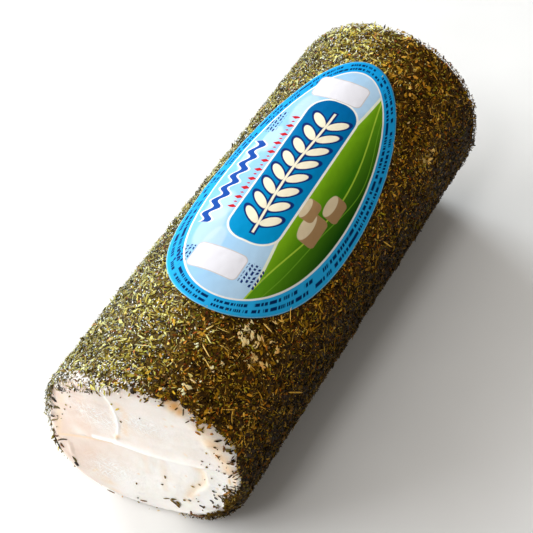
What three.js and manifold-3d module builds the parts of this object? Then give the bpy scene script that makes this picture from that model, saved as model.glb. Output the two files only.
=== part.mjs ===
// A herbed goat cheese log lying on its side: fresh white paste, a coat of dried herbs and an
// oval paper label. Millimetres, +Z up. +X runs from the end that shows to the back end, and the
// label reads upright from the front, -Y. The origin is under the middle of the log, on the floor.

import * as THREE from 'three';
import { mergeVertices } from 'three/addons/utils/BufferGeometryUtils.js';
import Module from 'manifold-3d';

const wasm = await Module();
wasm.setup();

// Driving dimensions of the log
const LOG_RADIUS = 39.5; // to the outside of the herb coat, without the bits that stand proud
const AXIS_HEIGHT = 38.5; // the soft log has settled by 1 mm, which gives it a flat spot below
const COAT_THICKNESS = 1.0;
const GAP = 0.3; // clearance between separate pieces
const CORE_RADIUS = LOG_RADIUS - COAT_THICKNESS - GAP;
const STEPS_ROUND = 60; // a vertex every 6 degrees

// The two ends. Each wave is [height, turns, phase in degrees]: together they give the slant and
// the unevenness of the rim. Places on an end are [across, up] from the log's axis, as seen from
// outside with the top up. `rounding` is the radius of the soft edge, and each bare patch an angle
// where it is wider and the coat is drawn back. A facet is an outline that the knife took lower by
// `depth`, and by `lean` more per millimetre across and up. A ridge is a smear along a path,
// thickest at `peak` of its length. A fleck of herb is [across, up, length, width, turn in degrees].
const STEP_LINE = [[-32, -7.6], [-20, -2.6], [-9, 0.2], [4, 1.8], [17.6, 3.3], [27.2, 4.4], [46, 5.6]];
const SMEAR_LINE = [[-11.8, 46], [-9.8, 33.4], [-7.8, 26], [-7, 18.5], [-7.4, 12], [-8.8, 5], [-11, -5]];
const CUT_END = {
  x: -95.2,
  outward: -1,
  waves: [[3.5, 1, 98], [1.2, 2, -170], [1.4, 3, 133], [0.6, 4, 46], [0.2, 5, 22]],
  rounding: 3.5,
  bare: [
    { angle: 52, spread: 32, rounding: 2.5, coat: 3.6 },
    { angle: -155, spread: 45, rounding: 0, coat: 3.6 },
  ],
  facets: [
    { outline: [[-46, -14], ...STEP_LINE, [46, -60], [-46, -60]], depth: 0.9, lean: [0.02, 0.01] },
    { outline: [...SMEAR_LINE, [-50, -26], [-50, 46]], depth: 0.4, lean: [0.008, 0] },
  ],
  ridges: [
    {
      path: [[-9.4, 31.4], [-7.8, 25.3], [-7, 18.5], [-7.3, 12], [-8.6, 5.4]],
      radius: 1.5, proud: 0.8, peak: 0.55,
    },
    {
      path: [[-6.6, 1.6], [3.8, 2.9], [12.7, 4], [20.5, 5], [27.2, 6], [31, 6.2]],
      radius: 1.9, proud: 1.4, peak: 0.75,
    },
    {
      path: [[23, 3.4], [24.7, -2], [25.1, -6.8], [23.3, -11.5], [20.9, -15]],
      radius: 1.4, proud: 0.8, peak: 0.4,
    },
    { path: [[24.8, 24.4], [25.6, 20.6], [26.2, 16.6]], radius: 1.4, proud: 0.7, peak: 0.5 },
  ],
  flecks: [
    [11.3, -25.9, 3.8, 2.6, 24],
    [16.1, -20.9, 1.7, 1.3, 40],
    [18.3, -19.4, 1.6, 1.2, 160],
    [8.4, -12, 2.2, 1.1, 96],
    [7.2, -17.3, 1.5, 1.2, 15],
    [19.4, -9.6, 1.6, 1, 30],
    [22, -7.4, 1.1, 1, 0],
    [25.4, 13.4, 1.5, 1.1, 100],
    [29.4, 13.6, 1.7, 1.4, 60],
    [22, 26.4, 2.6, 1.8, 8],
    [-3.3, -0.6, 1.7, 1, 150],
    [-3, -22.5, 1.7, 1.2, 85],
    [-7.4, 27.7, 1.6, 1.2, 70],
    [-5.8, 25, 3.2, 1, 48],
    [-5.6, 16.7, 1.7, 1, 150],
    [-28.9, 9.8, 1.2, 1.1, 80],
    [-29.6, 6.6, 1.2, 1, 50],
  ],
};
// the back end has the same kind of marks
const BACK_STEP_LINE = [[-46, 10], [-20, 5], [0, -2], [22, -4], [46, -9]];
const BACK_END = {
  x: 100.2,
  outward: 1,
  waves: [[3.1, 1, 24], [0.7, 2, 67], [0.8, 3, -137]],
  rounding: 3.5,
  bare: [{ angle: -70, spread: 25, rounding: 1.2, coat: 1.6 }],
  facets: [{ outline: [...BACK_STEP_LINE, [46, -60], [-46, -60]], depth: 0.7, lean: [-0.01, 0.008] }],
  ridges: [
    { path: [[-26, 6.5], [-10, 1.8], [4, -2.4], [20, -3.9]], radius: 1.6, proud: 1.1, peak: 0.4 },
    { path: [[8, 28], [10, 18], [8, 8]], radius: 1.3, proud: 0.6, peak: 0.5 },
  ],
  flecks: [
    [-14, -18, 3.6, 2.4, 20],
    [16, -20, 3, 1.1, 75],
    [20, 16, 2.6, 1.6, 120],
    [-22, 20, 4.4, 0.8, 35],
    [2, 25, 1.9, 1.3, 60],
    [-4, -28, 2.4, 1.5, 95],
    [27, -8, 2, 1.3, 10],
    [-28, -10, 2.2, 1.4, 50],
  ],
};

// The oval label, measured along the log and round it
const LABEL_CENTRE_X = 11.3;
const LABEL_CENTRE_ANGLE = 2.9; // degrees from the top, towards the front
const LABEL_HALF_LENGTH = 66.9;
const LABEL_HALF_WIDTH = 33.4;
const LABEL_TAPER = 0.16; // how much wider it is at its near tip, and narrower at its far one
const LABEL_TURN = -1.1; // degrees that its far end leans to the front
const LABEL_LIFT = 0.5; // between the coat's mean surface and the paper
const LABEL_THICKNESS = 0.3;

// The herb coat: its ragged ends, its uneven surface, and the largest scraps in it
const COAT_START = 2.8; // from the corner of an end's face, measured along the surface
const COAT_ROWS = 14;
const COAT_UNEVENNESS = 0.22;
const SCRAP_PLACES = 290;
const STEM_EVERY = 4; // one scrap in so many is a bit of stem, the others are bits of leaf
const STEM = { shortest: 6, longest: 10, radius: 0.55, lift: 0.12 };
const LEAF = { shortest: 4.2, longest: 6.6, narrowest: 2, widest: 3.4, thickness: 1.4, lift: -0.1 };
const LABEL_MARGIN = 5; // the scraps keep this far from the label
const FLOOR_CLEARANCE = 0.3; // no proud scrap is lower than this
const SEED = 20261;

const DEGREE = Math.PI / 180;
const radians = (degrees) => degrees * DEGREE;

// Seeded random numbers from 0 to 1
function randomNumbers(seed) {
  let state = seed;
  return () => {
    state = (state + 0x6d2b79f5) | 0;
    let t = Math.imul(state ^ (state >>> 15), 1 | state);
    t = (t + Math.imul(t ^ (t >>> 7), 61 | t)) ^ t;
    return ((t ^ (t >>> 14)) >>> 0) / 4294967296;
  };
}

// A point of the log: `angle` is 0 on top and grows towards the front. `depth` is how far the
// surface it belongs to lies under the coat's, so that every layer is flattened alike underneath.
function onLog(x, angle, radius, depth = 0) {
  const down = -Math.cos(angle);
  const r = down > 0.5 ? Math.min(radius, (AXIS_HEIGHT - depth) / down) : radius;
  return new THREE.Vector3(x, -r * Math.sin(angle), AXIS_HEIGHT - r * down);
}

// Sum of an end's waves at `angle`. `share` is the distance from the axis over the radius, and
// spreads the rim's shape over the whole end like a soap film.
function wave(waves, angle, share = 1) {
  return waves.reduce(
    (sum, [height, turns, phase]) =>
      sum + height * share ** turns * Math.cos(turns * angle - radians(phase)),
    0,
  );
}

// A surface through rings of equal length, each running anticlockwise as seen from where the next
// ones lie. With `loop` the last ring joins the first; without, a point closes each end.
function ringSurface(rings, loop) {
  const count = rings[0].length;
  const points = rings.flat();
  const index = [];
  const bands = loop ? rings.length : rings.length - 1;
  for (let i = 0; i < bands; i += 1) {
    const here = i * count;
    const next = ((i + 1) % rings.length) * count;
    for (let j = 0; j < count; j += 1) {
      const k = (j + 1) % count;
      index.push(here + j, next + k, next + j, here + j, here + k, next + k);
    }
  }
  if (!loop) {
    const closing = [
      [0, true],
      [(rings.length - 1) * count, false],
    ];
    for (const [start, first] of closing) {
      const ring = points.slice(start, start + count);
      const middle = ring.reduce((sum, p) => sum.add(p), new THREE.Vector3()).divideScalar(count);
      const centre = points.push(middle) - 1;
      for (let j = 0; j < count; j += 1) {
        const a = start + j;
        const b = start + ((j + 1) % count);
        index.push(centre, first ? b : a, first ? a : b);
      }
    }
  }
  return new THREE.BufferGeometry().setFromPoints(points).setIndex(index);
}

// A closed geometry as a solid to cut and join, and back
function solidOf(geometry) {
  const bare = geometry.clone();
  bare.deleteAttribute('normal');
  bare.deleteAttribute('uv');
  const merged = mergeVertices(bare, 1e-4);
  return new wasm.Manifold(
    new wasm.Mesh({
      numProp: 3,
      vertProperties: new Float32Array(merged.getAttribute('position').array),
      triVerts: new Uint32Array(merged.index.array),
    }),
  );
}

// Edges shorter than this, which a join leaves where two pieces nearly meet, are closed up
const SHORTEST_EDGE = 0.03;
function geometryOf(solid) {
  const { vertProperties, triVerts } = solid.simplify(SHORTEST_EDGE).getMesh();
  const geometry = new THREE.BufferGeometry()
    .setAttribute('position', new THREE.BufferAttribute(new Float32Array(vertProperties), 3))
    .setIndex(new THREE.BufferAttribute(new Uint32Array(triVerts), 1));
  geometry.computeVertexNormals();
  return geometry;
}

const anglesRound = Array.from({ length: STEPS_ROUND }, (_, j) => (j * 2 * Math.PI) / STEPS_ROUND);

// The sum of one measure over an end's bare patches: full in the middle of each, 0 far from it
function bareSum(end, angle, measure) {
  return end.bare.reduce((sum, patch) => {
    const turned = angle - radians(patch.angle);
    const away = Math.atan2(Math.sin(turned), Math.cos(turned));
    return sum + patch[measure] * Math.exp(-((away / radians(patch.spread)) ** 2));
  }, 0);
}

// The soft edge's radius, the length of its quarter circle, and how far out the face is flat
const roundingAt = (end, angle) => end.rounding + bareSum(end, angle, 'rounding');
const edgeLengthAt = (end, angle) => (roundingAt(end, angle) * Math.PI) / 2;
const faceRadiusAt = (end, angle) => CORE_RADIUS - roundingAt(end, angle);

// How far an end's uncut surface stands out from its plane at a place on it
function endHeight(end, across, up) {
  const angle = Math.atan2(-end.outward * across, up);
  const share = Math.hypot(across, up) / faceRadiusAt(end, angle);
  return end.outward * wave(end.waves, angle, Math.min(share, 1));
}

// From an end's own plane (across, up, outwards) to the log
function endMatrix(end) {
  return new THREE.Matrix4()
    .makeBasis(
      new THREE.Vector3(0, end.outward, 0),
      new THREE.Vector3(0, 0, 1),
      new THREE.Vector3(end.outward, 0, 0),
    )
    .setPosition(end.x, 0, AXIS_HEIGHT);
}

// One point of a layer near an end: `along` is the way from the corner of the flat face, first
// round the soft edge and then along the side. `offset` lifts the layer off the paste, and `lump`
// is what this one point of it stands out.
function nearEnd(end, angle, along, offset, lump = 0) {
  const rounding = roundingAt(end, angle);
  const turn = Math.min(along, edgeLengthAt(end, angle)) / rounding;
  const straight = Math.max(along - edgeLengthAt(end, angle), 0);
  const lift = rounding + offset + lump;
  const r = faceRadiusAt(end, angle) + lift * Math.sin(turn);
  const out = lift * Math.cos(turn) - rounding - straight;
  const rim = end.x + wave(end.waves, angle);
  return onLog(rim + end.outward * out, angle, r, LOG_RADIUS - CORE_RADIUS - offset);
}

// The paste: flat ends with soft edges, from the cut end to the back end
const FACE_SHARES = [0.3, 0.65, 1];
function pasteBody() {
  const faceRing = (end, share) =>
    anglesRound.map((angle) => {
      const x = end.x + wave(end.waves, angle, share);
      return onLog(x, angle, faceRadiusAt(end, angle) * share, LOG_RADIUS - CORE_RADIUS);
    });
  const edgeRing = (end, part) =>
    anglesRound.map((angle) => nearEnd(end, angle, part * edgeLengthAt(end, angle), 0));
  const half = (end) => [
    ...FACE_SHARES.map((share) => faceRing(end, share)),
    ...[1 / 3, 2 / 3, 1].map((part) => edgeRing(end, part)),
  ];
  return solidOf(ringSurface([...half(CUT_END), ...half(BACK_END).reverse()], false));
}

// A knife's facet: the outside of the end inside an outline, from a little under its surface
const CUTTER_RADIUS = 60; // larger than any end
const CUTTER_LENGTH = 20;
const takenOff = ({ depth, lean }, across, up) =>
  Math.max(depth + lean[0] * across + lean[1] * up, 0);

function facet(end, cut) {
  const ring = (radius, height) =>
    anglesRound.map((angle) => {
      const across = radius * Math.cos(angle);
      const up = radius * Math.sin(angle);
      return new THREE.Vector3(across, up, height ?? endHeight(end, across, up) - takenOff(cut, across, up));
    });
  const radii = [...FACE_SHARES.map((share) => share * (CORE_RADIUS - end.rounding)), CUTTER_RADIUS];
  const rings = [...radii.map((radius) => ring(radius)), ring(CUTTER_RADIUS, CUTTER_LENGTH)];
  const outside = solidOf(ringSurface(rings, false));
  const outline = new THREE.Shape(cut.outline.map(([across, up]) => new THREE.Vector2(across, up)));
  const slab = new THREE.ExtrudeGeometry(outline, { depth: 2 * CUTTER_LENGTH, bevelEnabled: false });
  const inside = solidOf(slab.translate(0, 0, -CUTTER_LENGTH));
  const cutter = geometryOf(outside.intersect(inside));
  return solidOf(cutter.applyMatrix4(endMatrix(end)));
}

// Whether a point lies inside an outline: a line to the right crosses it an odd number of times
function isInside(outline, across, up) {
  return outline.reduce((inside, [x1, y1], i) => {
    const [x2, y2] = outline[(i + 1) % outline.length];
    const crosses = y1 > up !== y2 > up && across < x1 + ((up - y1) * (x2 - x1)) / (y2 - y1);
    return crosses ? !inside : inside;
  }, false);
}

// How far an end stands out at a place once its facets are cut
function cutHeight(end, across, up) {
  const taken = end.facets
    .filter((cut) => isInside(cut.outline, across, up))
    .map((cut) => takenOff(cut, across, up));
  return endHeight(end, across, up) - Math.max(0, ...taken);
}

// A smear ridge: a soft bead partly sunk in the end along a curve, thinning towards its tips
const RIDGE_SIDES = 6;
const RIDGE_TIP = 0.3; // a tip's radius over the bead's
function ridge(end, { path, radius, proud, peak }) {
  const lift = ([across, up]) => cutHeight(end, across, up) + proud - radius;
  const curve = new THREE.CatmullRomCurve3(path.map((at) => new THREE.Vector3(...at, lift(at))));
  const steps = 3 * path.length;
  const { normals, binormals } = curve.computeFrenetFrames(steps, false);
  const rings = normals.map((normal, i) => {
    const swell = Math.sin(Math.PI * (i / steps) ** (Math.log(0.5) / Math.log(peak)));
    const r = radius * (RIDGE_TIP + (1 - RIDGE_TIP) * swell);
    return Array.from({ length: RIDGE_SIDES }, (_, j) => {
      const a = (j * 2 * Math.PI) / RIDGE_SIDES;
      const point = curve.getPointAt(i / steps);
      return point.addScaledVector(normal, r * Math.cos(a)).addScaledVector(binormals[i], r * Math.sin(a));
    });
  });
  return solidOf(ringSurface(rings, false).applyMatrix4(endMatrix(end)));
}

// A fleck of herb on an end: a flat five-sided chip, half of its height in the paste
const FLECK_HEIGHT = 1.2;
function fleck(end, [across, up, length, width, turn]) {
  const chip = new THREE.CylinderGeometry(0.36, 0.5, FLECK_HEIGHT, 5).rotateX(Math.PI / 2);
  chip.scale(length, width, 1).rotateZ(radians(turn));
  chip.translate(across, up, cutHeight(end, across, up));
  return solidOf(chip.applyMatrix4(endMatrix(end)));
}

function cheese() {
  const ends = [CUT_END, BACK_END];
  const facets = ends.flatMap((end) => end.facets.map((cut) => facet(end, cut)));
  const added = ends.flatMap((end) => [
    ...end.ridges.map((bead) => ridge(end, bead)),
    ...end.flecks.map((place) => fleck(end, place)),
  ]);
  const cut = facets.reduce((body, slab) => body.subtract(slab), pasteBody());
  return geometryOf(wasm.Manifold.union([cut, ...added]));
}

// Where the herb coat stops, measured along from the corner of an end's face: ragged all round,
// and drawn back where the end is bare
function coatEdge(end, angle) {
  const ragged = 0.7 * Math.cos(7 * angle) + 0.45 * Math.cos(11 * angle + 0.7) + 0.35 * Math.cos(17 * angle);
  return COAT_START + bareSum(end, angle, 'coat') + ragged;
}

// Whether a place lies inside the label's outline grown by `margin`
function underLabel(x, angle, margin) {
  let away = angle - radians(LABEL_CENTRE_ANGLE);
  away -= 2 * Math.PI * Math.round(away / (2 * Math.PI));
  const turn = radians(LABEL_TURN);
  const dx = x - LABEL_CENTRE_X;
  const round = away * LOG_RADIUS;
  const along = dx * Math.cos(turn) + round * Math.sin(turn);
  const over = round * Math.cos(turn) - dx * Math.sin(turn);
  const u = along / (LABEL_HALF_LENGTH + margin);
  const v = over / ((LABEL_HALF_WIDTH + margin) * (1 - LABEL_TAPER * u));
  return Math.abs(u) < 1 && u * u + v * v < 1;
}

// The coat's sleeve: an uneven outside and a plain inside, both following the soft edges
const END_ZONE = 14; // how far along from the face's corner the rows that follow an edge reach
const LEAST_STEP = 0.3;
function coatSleeve(random) {
  const lump = (share) => COAT_UNEVENNESS * (2 * random() - 1) * share;
  const lastX = (end, angle) => nearEnd(end, angle, END_ZONE, 0).x;
  const endRings = (end, steps, offset, unevenness) =>
    Array.from({ length: steps + 2 }, (_, row) =>
      anglesRound.map((angle) => {
        const start = coatEdge(end, angle);
        const round = Math.max(start + row * LEAST_STEP, (row * edgeLengthAt(end, angle)) / steps);
        const along = row > steps ? END_ZONE : round;
        return nearEnd(end, angle, along, offset, lump(row > 0 ? unevenness : 0));
      }),
    );
  const middleRings = Array.from({ length: COAT_ROWS - 1 }, (_, i) =>
    anglesRound.map((angle) => {
      const from = lastX(CUT_END, angle);
      const x = from + ((lastX(BACK_END, angle) - from) * (i + 1)) / COAT_ROWS;
      return onLog(x, angle, LOG_RADIUS + lump(underLabel(x, angle, LABEL_MARGIN) ? 0.3 : 1));
    }),
  );
  const outside = GAP + COAT_THICKNESS;
  const rings = [
    ...endRings(CUT_END, 2, outside, 1),
    ...middleRings,
    ...endRings(BACK_END, 2, outside, 1).reverse(),
    ...endRings(BACK_END, 3, GAP, 0),
    ...endRings(CUT_END, 3, GAP, 0).reverse(),
  ];
  return solidOf(ringSurface(rings, true));
}

// The largest herb scraps, spread by the golden angle: eight-sided bits of leaf and bits of stem
const GOLDEN_ANGLE = Math.PI * (3 - Math.sqrt(5));
function herbScraps(random) {
  const between = (low, high) => low + (high - low) * random();
  const first = CUT_END.x + 8;
  const last = BACK_END.x - 6;
  const scraps = [];
  for (let i = 0; i < SCRAP_PLACES; i += 1) {
    const x = first + ((last - first) * (i + 0.5)) / SCRAP_PLACES;
    const angle = (i * GOLDEN_ANGLE + between(-0.08, 0.08)) % (2 * Math.PI);
    const isStem = i % STEM_EVERY === 0;
    const length = isStem ? between(STEM.shortest, STEM.longest) : between(LEAF.shortest, LEAF.longest);
    const shape = isStem
      ? new THREE.CylinderGeometry(STEM.radius, STEM.radius, length, 3).rotateZ(Math.PI / 2)
      : new THREE.OctahedronGeometry(0.5).scale(length, between(LEAF.narrowest, LEAF.widest), LEAF.thickness);
    shape.rotateZ(between(0, 2 * Math.PI)).rotateX(between(-0.1, 0.1));
    // the scrap's own z points away from the log's axis
    shape.translate(0, 0, LOG_RADIUS + (isStem ? STEM.lift : LEAF.lift));
    shape.rotateX(angle).translate(x, 0, AXIS_HEIGHT);
    shape.computeBoundingBox();
    const low = shape.boundingBox.min.z < FLOOR_CLEARANCE;
    if (low || underLabel(x, angle, LABEL_MARGIN)) continue;
    scraps.push(solidOf(shape));
  }
  return scraps;
}

function herbCoat() {
  const random = randomNumbers(SEED);
  return geometryOf(wasm.Manifold.union([coatSleeve(random), ...herbScraps(random)]));
}

// The label: a tapered oval of paper bent round the log, as rings from its middle to its edge
function label() {
  const AROUND = 48;
  const RINGS = 5;
  const turn = radians(LABEL_TURN);
  const ring = (share, lift) =>
    Array.from({ length: AROUND }, (_, j) => {
      const t = (j * 2 * Math.PI) / AROUND;
      const along = LABEL_HALF_LENGTH * share * Math.cos(t);
      const over = LABEL_HALF_WIDTH * share * Math.sin(t) * (1 - LABEL_TAPER * share * Math.cos(t));
      const x = LABEL_CENTRE_X + along * Math.cos(turn) - over * Math.sin(turn);
      const round = along * Math.sin(turn) + over * Math.cos(turn);
      return onLog(x, radians(LABEL_CENTRE_ANGLE) + round / LOG_RADIUS, LOG_RADIUS + lift);
    });
  const shares = Array.from({ length: RINGS }, (_, i) => (i + 0.4) / (RINGS - 0.6));
  const upper = shares.map((share) => ring(share, LABEL_LIFT + LABEL_THICKNESS));
  const under = shares.map((share) => ring(share, LABEL_LIFT)).reverse();
  return geometryOf(solidOf(ringSurface([...upper, ...under], false)));
}

const finishes = {
  paste: new THREE.MeshStandardMaterial({ color: 0xf6ead9, roughness: 0.55, metalness: 0 }),
  herbs: new THREE.MeshStandardMaterial({ color: 0x4a4318, roughness: 0.6, metalness: 0 }),
  paper: new THREE.MeshStandardMaterial({ color: 0x3fa9dc, roughness: 0.35, metalness: 0 }),
};

const log = new THREE.Group();
for (const [name, geometry, finish] of [
  ['goat_cheese', cheese(), finishes.paste],
  ['herb_coat', herbCoat(), finishes.herbs],
  ['paper_label', label(), finishes.paper],
]) {
  const mesh = new THREE.Mesh(geometry, finish);
  mesh.name = name;
  log.add(mesh);
}

export default log;
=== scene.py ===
# %% [markdown]
# Herbed goat cheese log. A soft white log of fresh goat cheese lies on its side, rolled in dried
# herbs, with one bare end towards us and an oval paper label on top. This lesson dresses three
# plain solids: the paste, the coat of herbs and the label. Nearly every surface here is worked
# out with numpy on a grid, because then each form is a formula that can be read and changed.

# %% Load the frame
import math

import bpy
import numpy as np
from mathutils import Matrix, Vector


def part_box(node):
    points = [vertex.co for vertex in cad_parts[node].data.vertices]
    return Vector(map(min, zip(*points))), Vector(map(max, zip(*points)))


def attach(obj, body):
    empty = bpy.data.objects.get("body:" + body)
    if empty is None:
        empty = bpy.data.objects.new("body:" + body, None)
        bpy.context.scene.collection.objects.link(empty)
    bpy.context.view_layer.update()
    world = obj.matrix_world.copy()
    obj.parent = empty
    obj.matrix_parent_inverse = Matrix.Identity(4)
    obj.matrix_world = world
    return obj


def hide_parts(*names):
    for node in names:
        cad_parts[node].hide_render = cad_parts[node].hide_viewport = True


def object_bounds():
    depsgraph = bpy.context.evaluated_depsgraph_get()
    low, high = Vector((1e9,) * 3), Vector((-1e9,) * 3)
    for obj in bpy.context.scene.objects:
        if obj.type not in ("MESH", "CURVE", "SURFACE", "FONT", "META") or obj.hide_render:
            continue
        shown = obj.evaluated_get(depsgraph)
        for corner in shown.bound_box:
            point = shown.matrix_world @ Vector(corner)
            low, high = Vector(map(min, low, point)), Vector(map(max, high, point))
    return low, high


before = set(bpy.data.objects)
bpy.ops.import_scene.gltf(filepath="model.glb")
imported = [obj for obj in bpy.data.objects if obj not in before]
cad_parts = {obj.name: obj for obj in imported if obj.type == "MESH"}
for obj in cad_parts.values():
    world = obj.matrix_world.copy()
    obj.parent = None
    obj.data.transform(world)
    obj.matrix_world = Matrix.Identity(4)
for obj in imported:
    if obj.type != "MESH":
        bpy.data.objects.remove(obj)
cad_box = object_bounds()
print("solids:", sorted(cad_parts))

# %% [markdown]
# The camera comes first, so that every later step can be looked at. The picture was taken from
# above the bare end, with a long lens. Its place was found by fitting the log's outline. A long
# lens far away keeps the log's two ends nearly the same size, which a short lens wouldn't.

# %% Camera
MM = 0.001  # all sizes below are in millimetres, and become metres when a mesh is made
PICTURE_WIDTH = 533  # pixels
FOCAL_LENGTH = 1600  # pixels
SENSOR_WIDTH = 36.0  # millimetres, as on a full-frame camera
CAMERA_PLACE = (-338.15, -183.55, 506.81)
CAMERA_RIGHT = (0.4818, -0.8763, 0.0)
CAMERA_UP = (0.6772, 0.3724, 0.6346)

right = Vector(CAMERA_RIGHT).normalized()
backward = right.cross(Vector(CAMERA_UP)).normalized()
upward = backward.cross(right)
turned = Matrix((right, upward, backward)).transposed().to_4x4()
camera_data = bpy.data.cameras.new("camera")
camera_data.sensor_width = SENSOR_WIDTH
camera_data.lens = SENSOR_WIDTH * FOCAL_LENGTH / PICTURE_WIDTH
camera = bpy.data.objects.new("camera", camera_data)
camera.matrix_world = Matrix.Translation(Vector(CAMERA_PLACE) * MM) @ turned
bpy.context.scene.collection.objects.link(camera)
bpy.context.scene.camera = camera
print("lens:", round(camera_data.lens, 1), "mm")

# %% [markdown]
# The log's driving sizes are read off the solids: the paste is as wide as its radius twice, and
# its top is one radius above the axis. The coat of herbs lies on the paste.

# %% Sizes from the solids
paste_low, paste_high = (np.array(corner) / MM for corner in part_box("goat_cheese"))
CORE_RADIUS = (paste_high[1] - paste_low[1]) / 2
AXIS_HEIGHT = paste_high[2] - CORE_RADIUS
GAP = 0.3  # between the paste and the coat
COAT_THICKNESS = 1.0
COAT_TOP = GAP + COAT_THICKNESS  # the coat's mean surface over the paste
LOG_RADIUS = CORE_RADIUS + COAT_TOP
print("paste radius", round(CORE_RADIUS, 2), "axis height", round(AXIS_HEIGHT, 2))

# %% [markdown]
# Three helpers carry the whole lesson. The first adds up plane waves to a soft random relief,
# which has no seam on any shape. The second puts arrays of points and faces into a mesh. The
# third joins rings of points into a closed skin. Whole arrays are filled at once, which is
# far quicker than going from vertex to vertex.

# %% Soft random relief
def ripples(points, size, seed, waves=28):
    """The sum of plane waves in random directions, with lengths near `size`, over the root of
    half their number. It runs from about -1 to 1, softly and without a seam."""
    rng = np.random.default_rng(seed)
    direction = rng.normal(size=(waves, 3))
    direction /= np.linalg.norm(direction, axis=1, keepdims=True)
    turns = 2 * np.pi / (size * rng.uniform(0.7, 1.4, waves))
    phase = rng.uniform(0, 2 * np.pi, waves)
    return np.cos(points @ (direction * turns[:, None]).T + phase).sum(-1) * math.sqrt(0.5 / waves)


def smooth(x, low, high):
    """0 below `low`, 1 above `high`, and an even S-shaped rise between them."""
    t = np.clip((x - low) / (high - low), 0, 1)
    return t * t * (3 - 2 * t)


# %% Arrays into a mesh
def new_piece(name, points, faces, material, values=None, flat=False):
    """A mesh object from points in millimetres and a list of index arrays, one row a face.
    `values` are named numbers, one for each point, that the material may read."""
    mesh = bpy.data.meshes.new(name)
    corners = np.concatenate([f.ravel() for f in faces]).astype(np.int32)
    sizes = np.concatenate([np.full(len(f), f.shape[1]) for f in faces])
    mesh.vertices.add(len(points))
    mesh.vertices.foreach_set("co", (np.asarray(points) * MM).astype(np.float32).ravel())
    mesh.loops.add(len(corners))
    mesh.loops.foreach_set("vertex_index", corners)
    mesh.polygons.add(len(sizes))
    mesh.polygons.foreach_set("loop_start", (np.cumsum(sizes) - sizes).astype(np.int32))
    mesh.polygons.foreach_set("use_smooth", np.full(len(sizes), not flat))
    for key, numbers in (values or {}).items():
        mesh.attributes.new(key, "FLOAT", "POINT").data.foreach_set("value", numbers.astype(np.float32))
    mesh.update(calc_edges=True)
    mesh.validate()
    mesh.materials.append(material)
    obj = bpy.data.objects.new(name, mesh)
    bpy.context.scene.collection.objects.link(obj)
    print(name, int((sizes - 2).sum()), "triangles")
    return obj


# %% Rings into a closed skin
def ring_faces(rings, around, loop=False):
    """Quads between neighbouring rings, which run anticlockwise as seen from where the next ones
    lie. With `loop` the last ring joins the first. Without, a fan closes each end round a point:
    the two points come after the rings."""
    row, column = np.meshgrid(np.arange(rings if loop else rings - 1), np.arange(around), indexing="ij")
    here, beyond = row * around, (row + 1) % rings * around
    after = (column + 1) % around
    quads = np.stack([here + column, here + after, beyond + after, beyond + column], -1).reshape(-1, 4)
    if loop:
        return [quads]
    a = np.arange(around)
    b = (a + 1) % around
    last_ring = (rings - 1) * around
    end_points = rings * around
    first = np.stack([np.full(around, end_points), b, a], -1)
    last = np.stack([np.full(around, end_points + 1), last_ring + a, last_ring + b], -1)
    return [quads, first, last]


# %% [markdown]
# The log's shape is the same function as in the solids. An angle runs round the log from the
# top towards the front. Each end is a wave round its rim, so that it slants and undulates, and
# the corner between end and side is a quarter circle, wider where the paste shows bare. The
# log has settled a little, so the radius is capped underneath, which makes the flat spot.

# %% The two ends of the log
CUT_END = {
    "x": -95.2,
    "outward": -1,
    # height, turns, phase in degrees
    "waves": ((3.5, 1, 98), (1.2, 2, -170), (1.4, 3, 133), (0.6, 4, 46), (0.2, 5, 22)),
    "rounding": 3.5,
    # middle and spread in degrees, then how much wider the corner and how far the herbs draw back
    "bare": ((52, 32, 2.5, 3.6), (-155, 45, 0.0, 3.6), (22, 7, 0.0, 2.2), (106, 17, 0.0, -2.6),
             (172, 16, 0.0, 1.8)),
}
BACK_END = {
    "x": 100.2,
    "outward": 1,
    "waves": ((3.1, 1, 24), (0.7, 2, 67), (0.8, 3, -137)),
    "rounding": 3.5,
    "bare": ((-70, 25, 1.2, 1.6),),
}
print("length between the ends:", round(BACK_END["x"] - CUT_END["x"], 1), "mm")


# %% The log as a surface
def on_log(x, angle, radius, depth=0.0):
    """The point at `radius` from the axis and at `angle` from the top towards the front. Below,
    the radius is cut off where it would pass the floor, less the layer's own depth."""
    down = -np.cos(angle)
    capped = np.minimum(radius, (AXIS_HEIGHT - depth) / np.maximum(down, 0.5))
    r = np.where(down > 0.5, capped, radius)
    return np.stack(np.broadcast_arrays(x, -r * np.sin(angle), AXIS_HEIGHT - r * down), -1)


def wave(end, angle, share=1.0):
    """The sum of the end's cosine waves, each faded towards the axis by its number of turns."""
    return sum(h * share**n * np.cos(n * angle - math.radians(phase)) for h, n, phase in end["waves"])


def apart(angle, degrees):
    """The angle from a direction given in degrees, between half a turn back and half a turn on."""
    middle = math.radians(degrees)
    return np.arctan2(np.sin(angle - middle), np.cos(angle - middle))


def bell(angle, degrees, spread):
    """A bell curve round a direction: 1 there, and about a third at `spread` degrees from it."""
    return np.exp(-((apart(angle, degrees) / math.radians(spread)) ** 2))


def rounding(end, angle):
    """Radius of the soft corner between end and side, wider where the end is bare."""
    return end["rounding"] + sum(wider * bell(angle, at, spread) for at, spread, wider, _ in end["bare"])


def near_end(end, angle, along, lift=0.0, depth=0.0):
    """A point `along` the skin from the corner of the end's face: first a quarter circle of the
    rounding's radius, then straight along the side. `lift` stands it off the paste."""
    corner = rounding(end, angle)
    turn = np.minimum(along / corner, np.pi / 2)
    straight = np.maximum(along - corner * np.pi / 2, 0)
    r = CORE_RADIUS - corner + (corner + lift) * np.sin(turn)
    out = (corner + lift) * np.cos(turn) - corner - straight
    return on_log(end["x"] + wave(end, angle) + end["outward"] * out, angle, r, depth)


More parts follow.
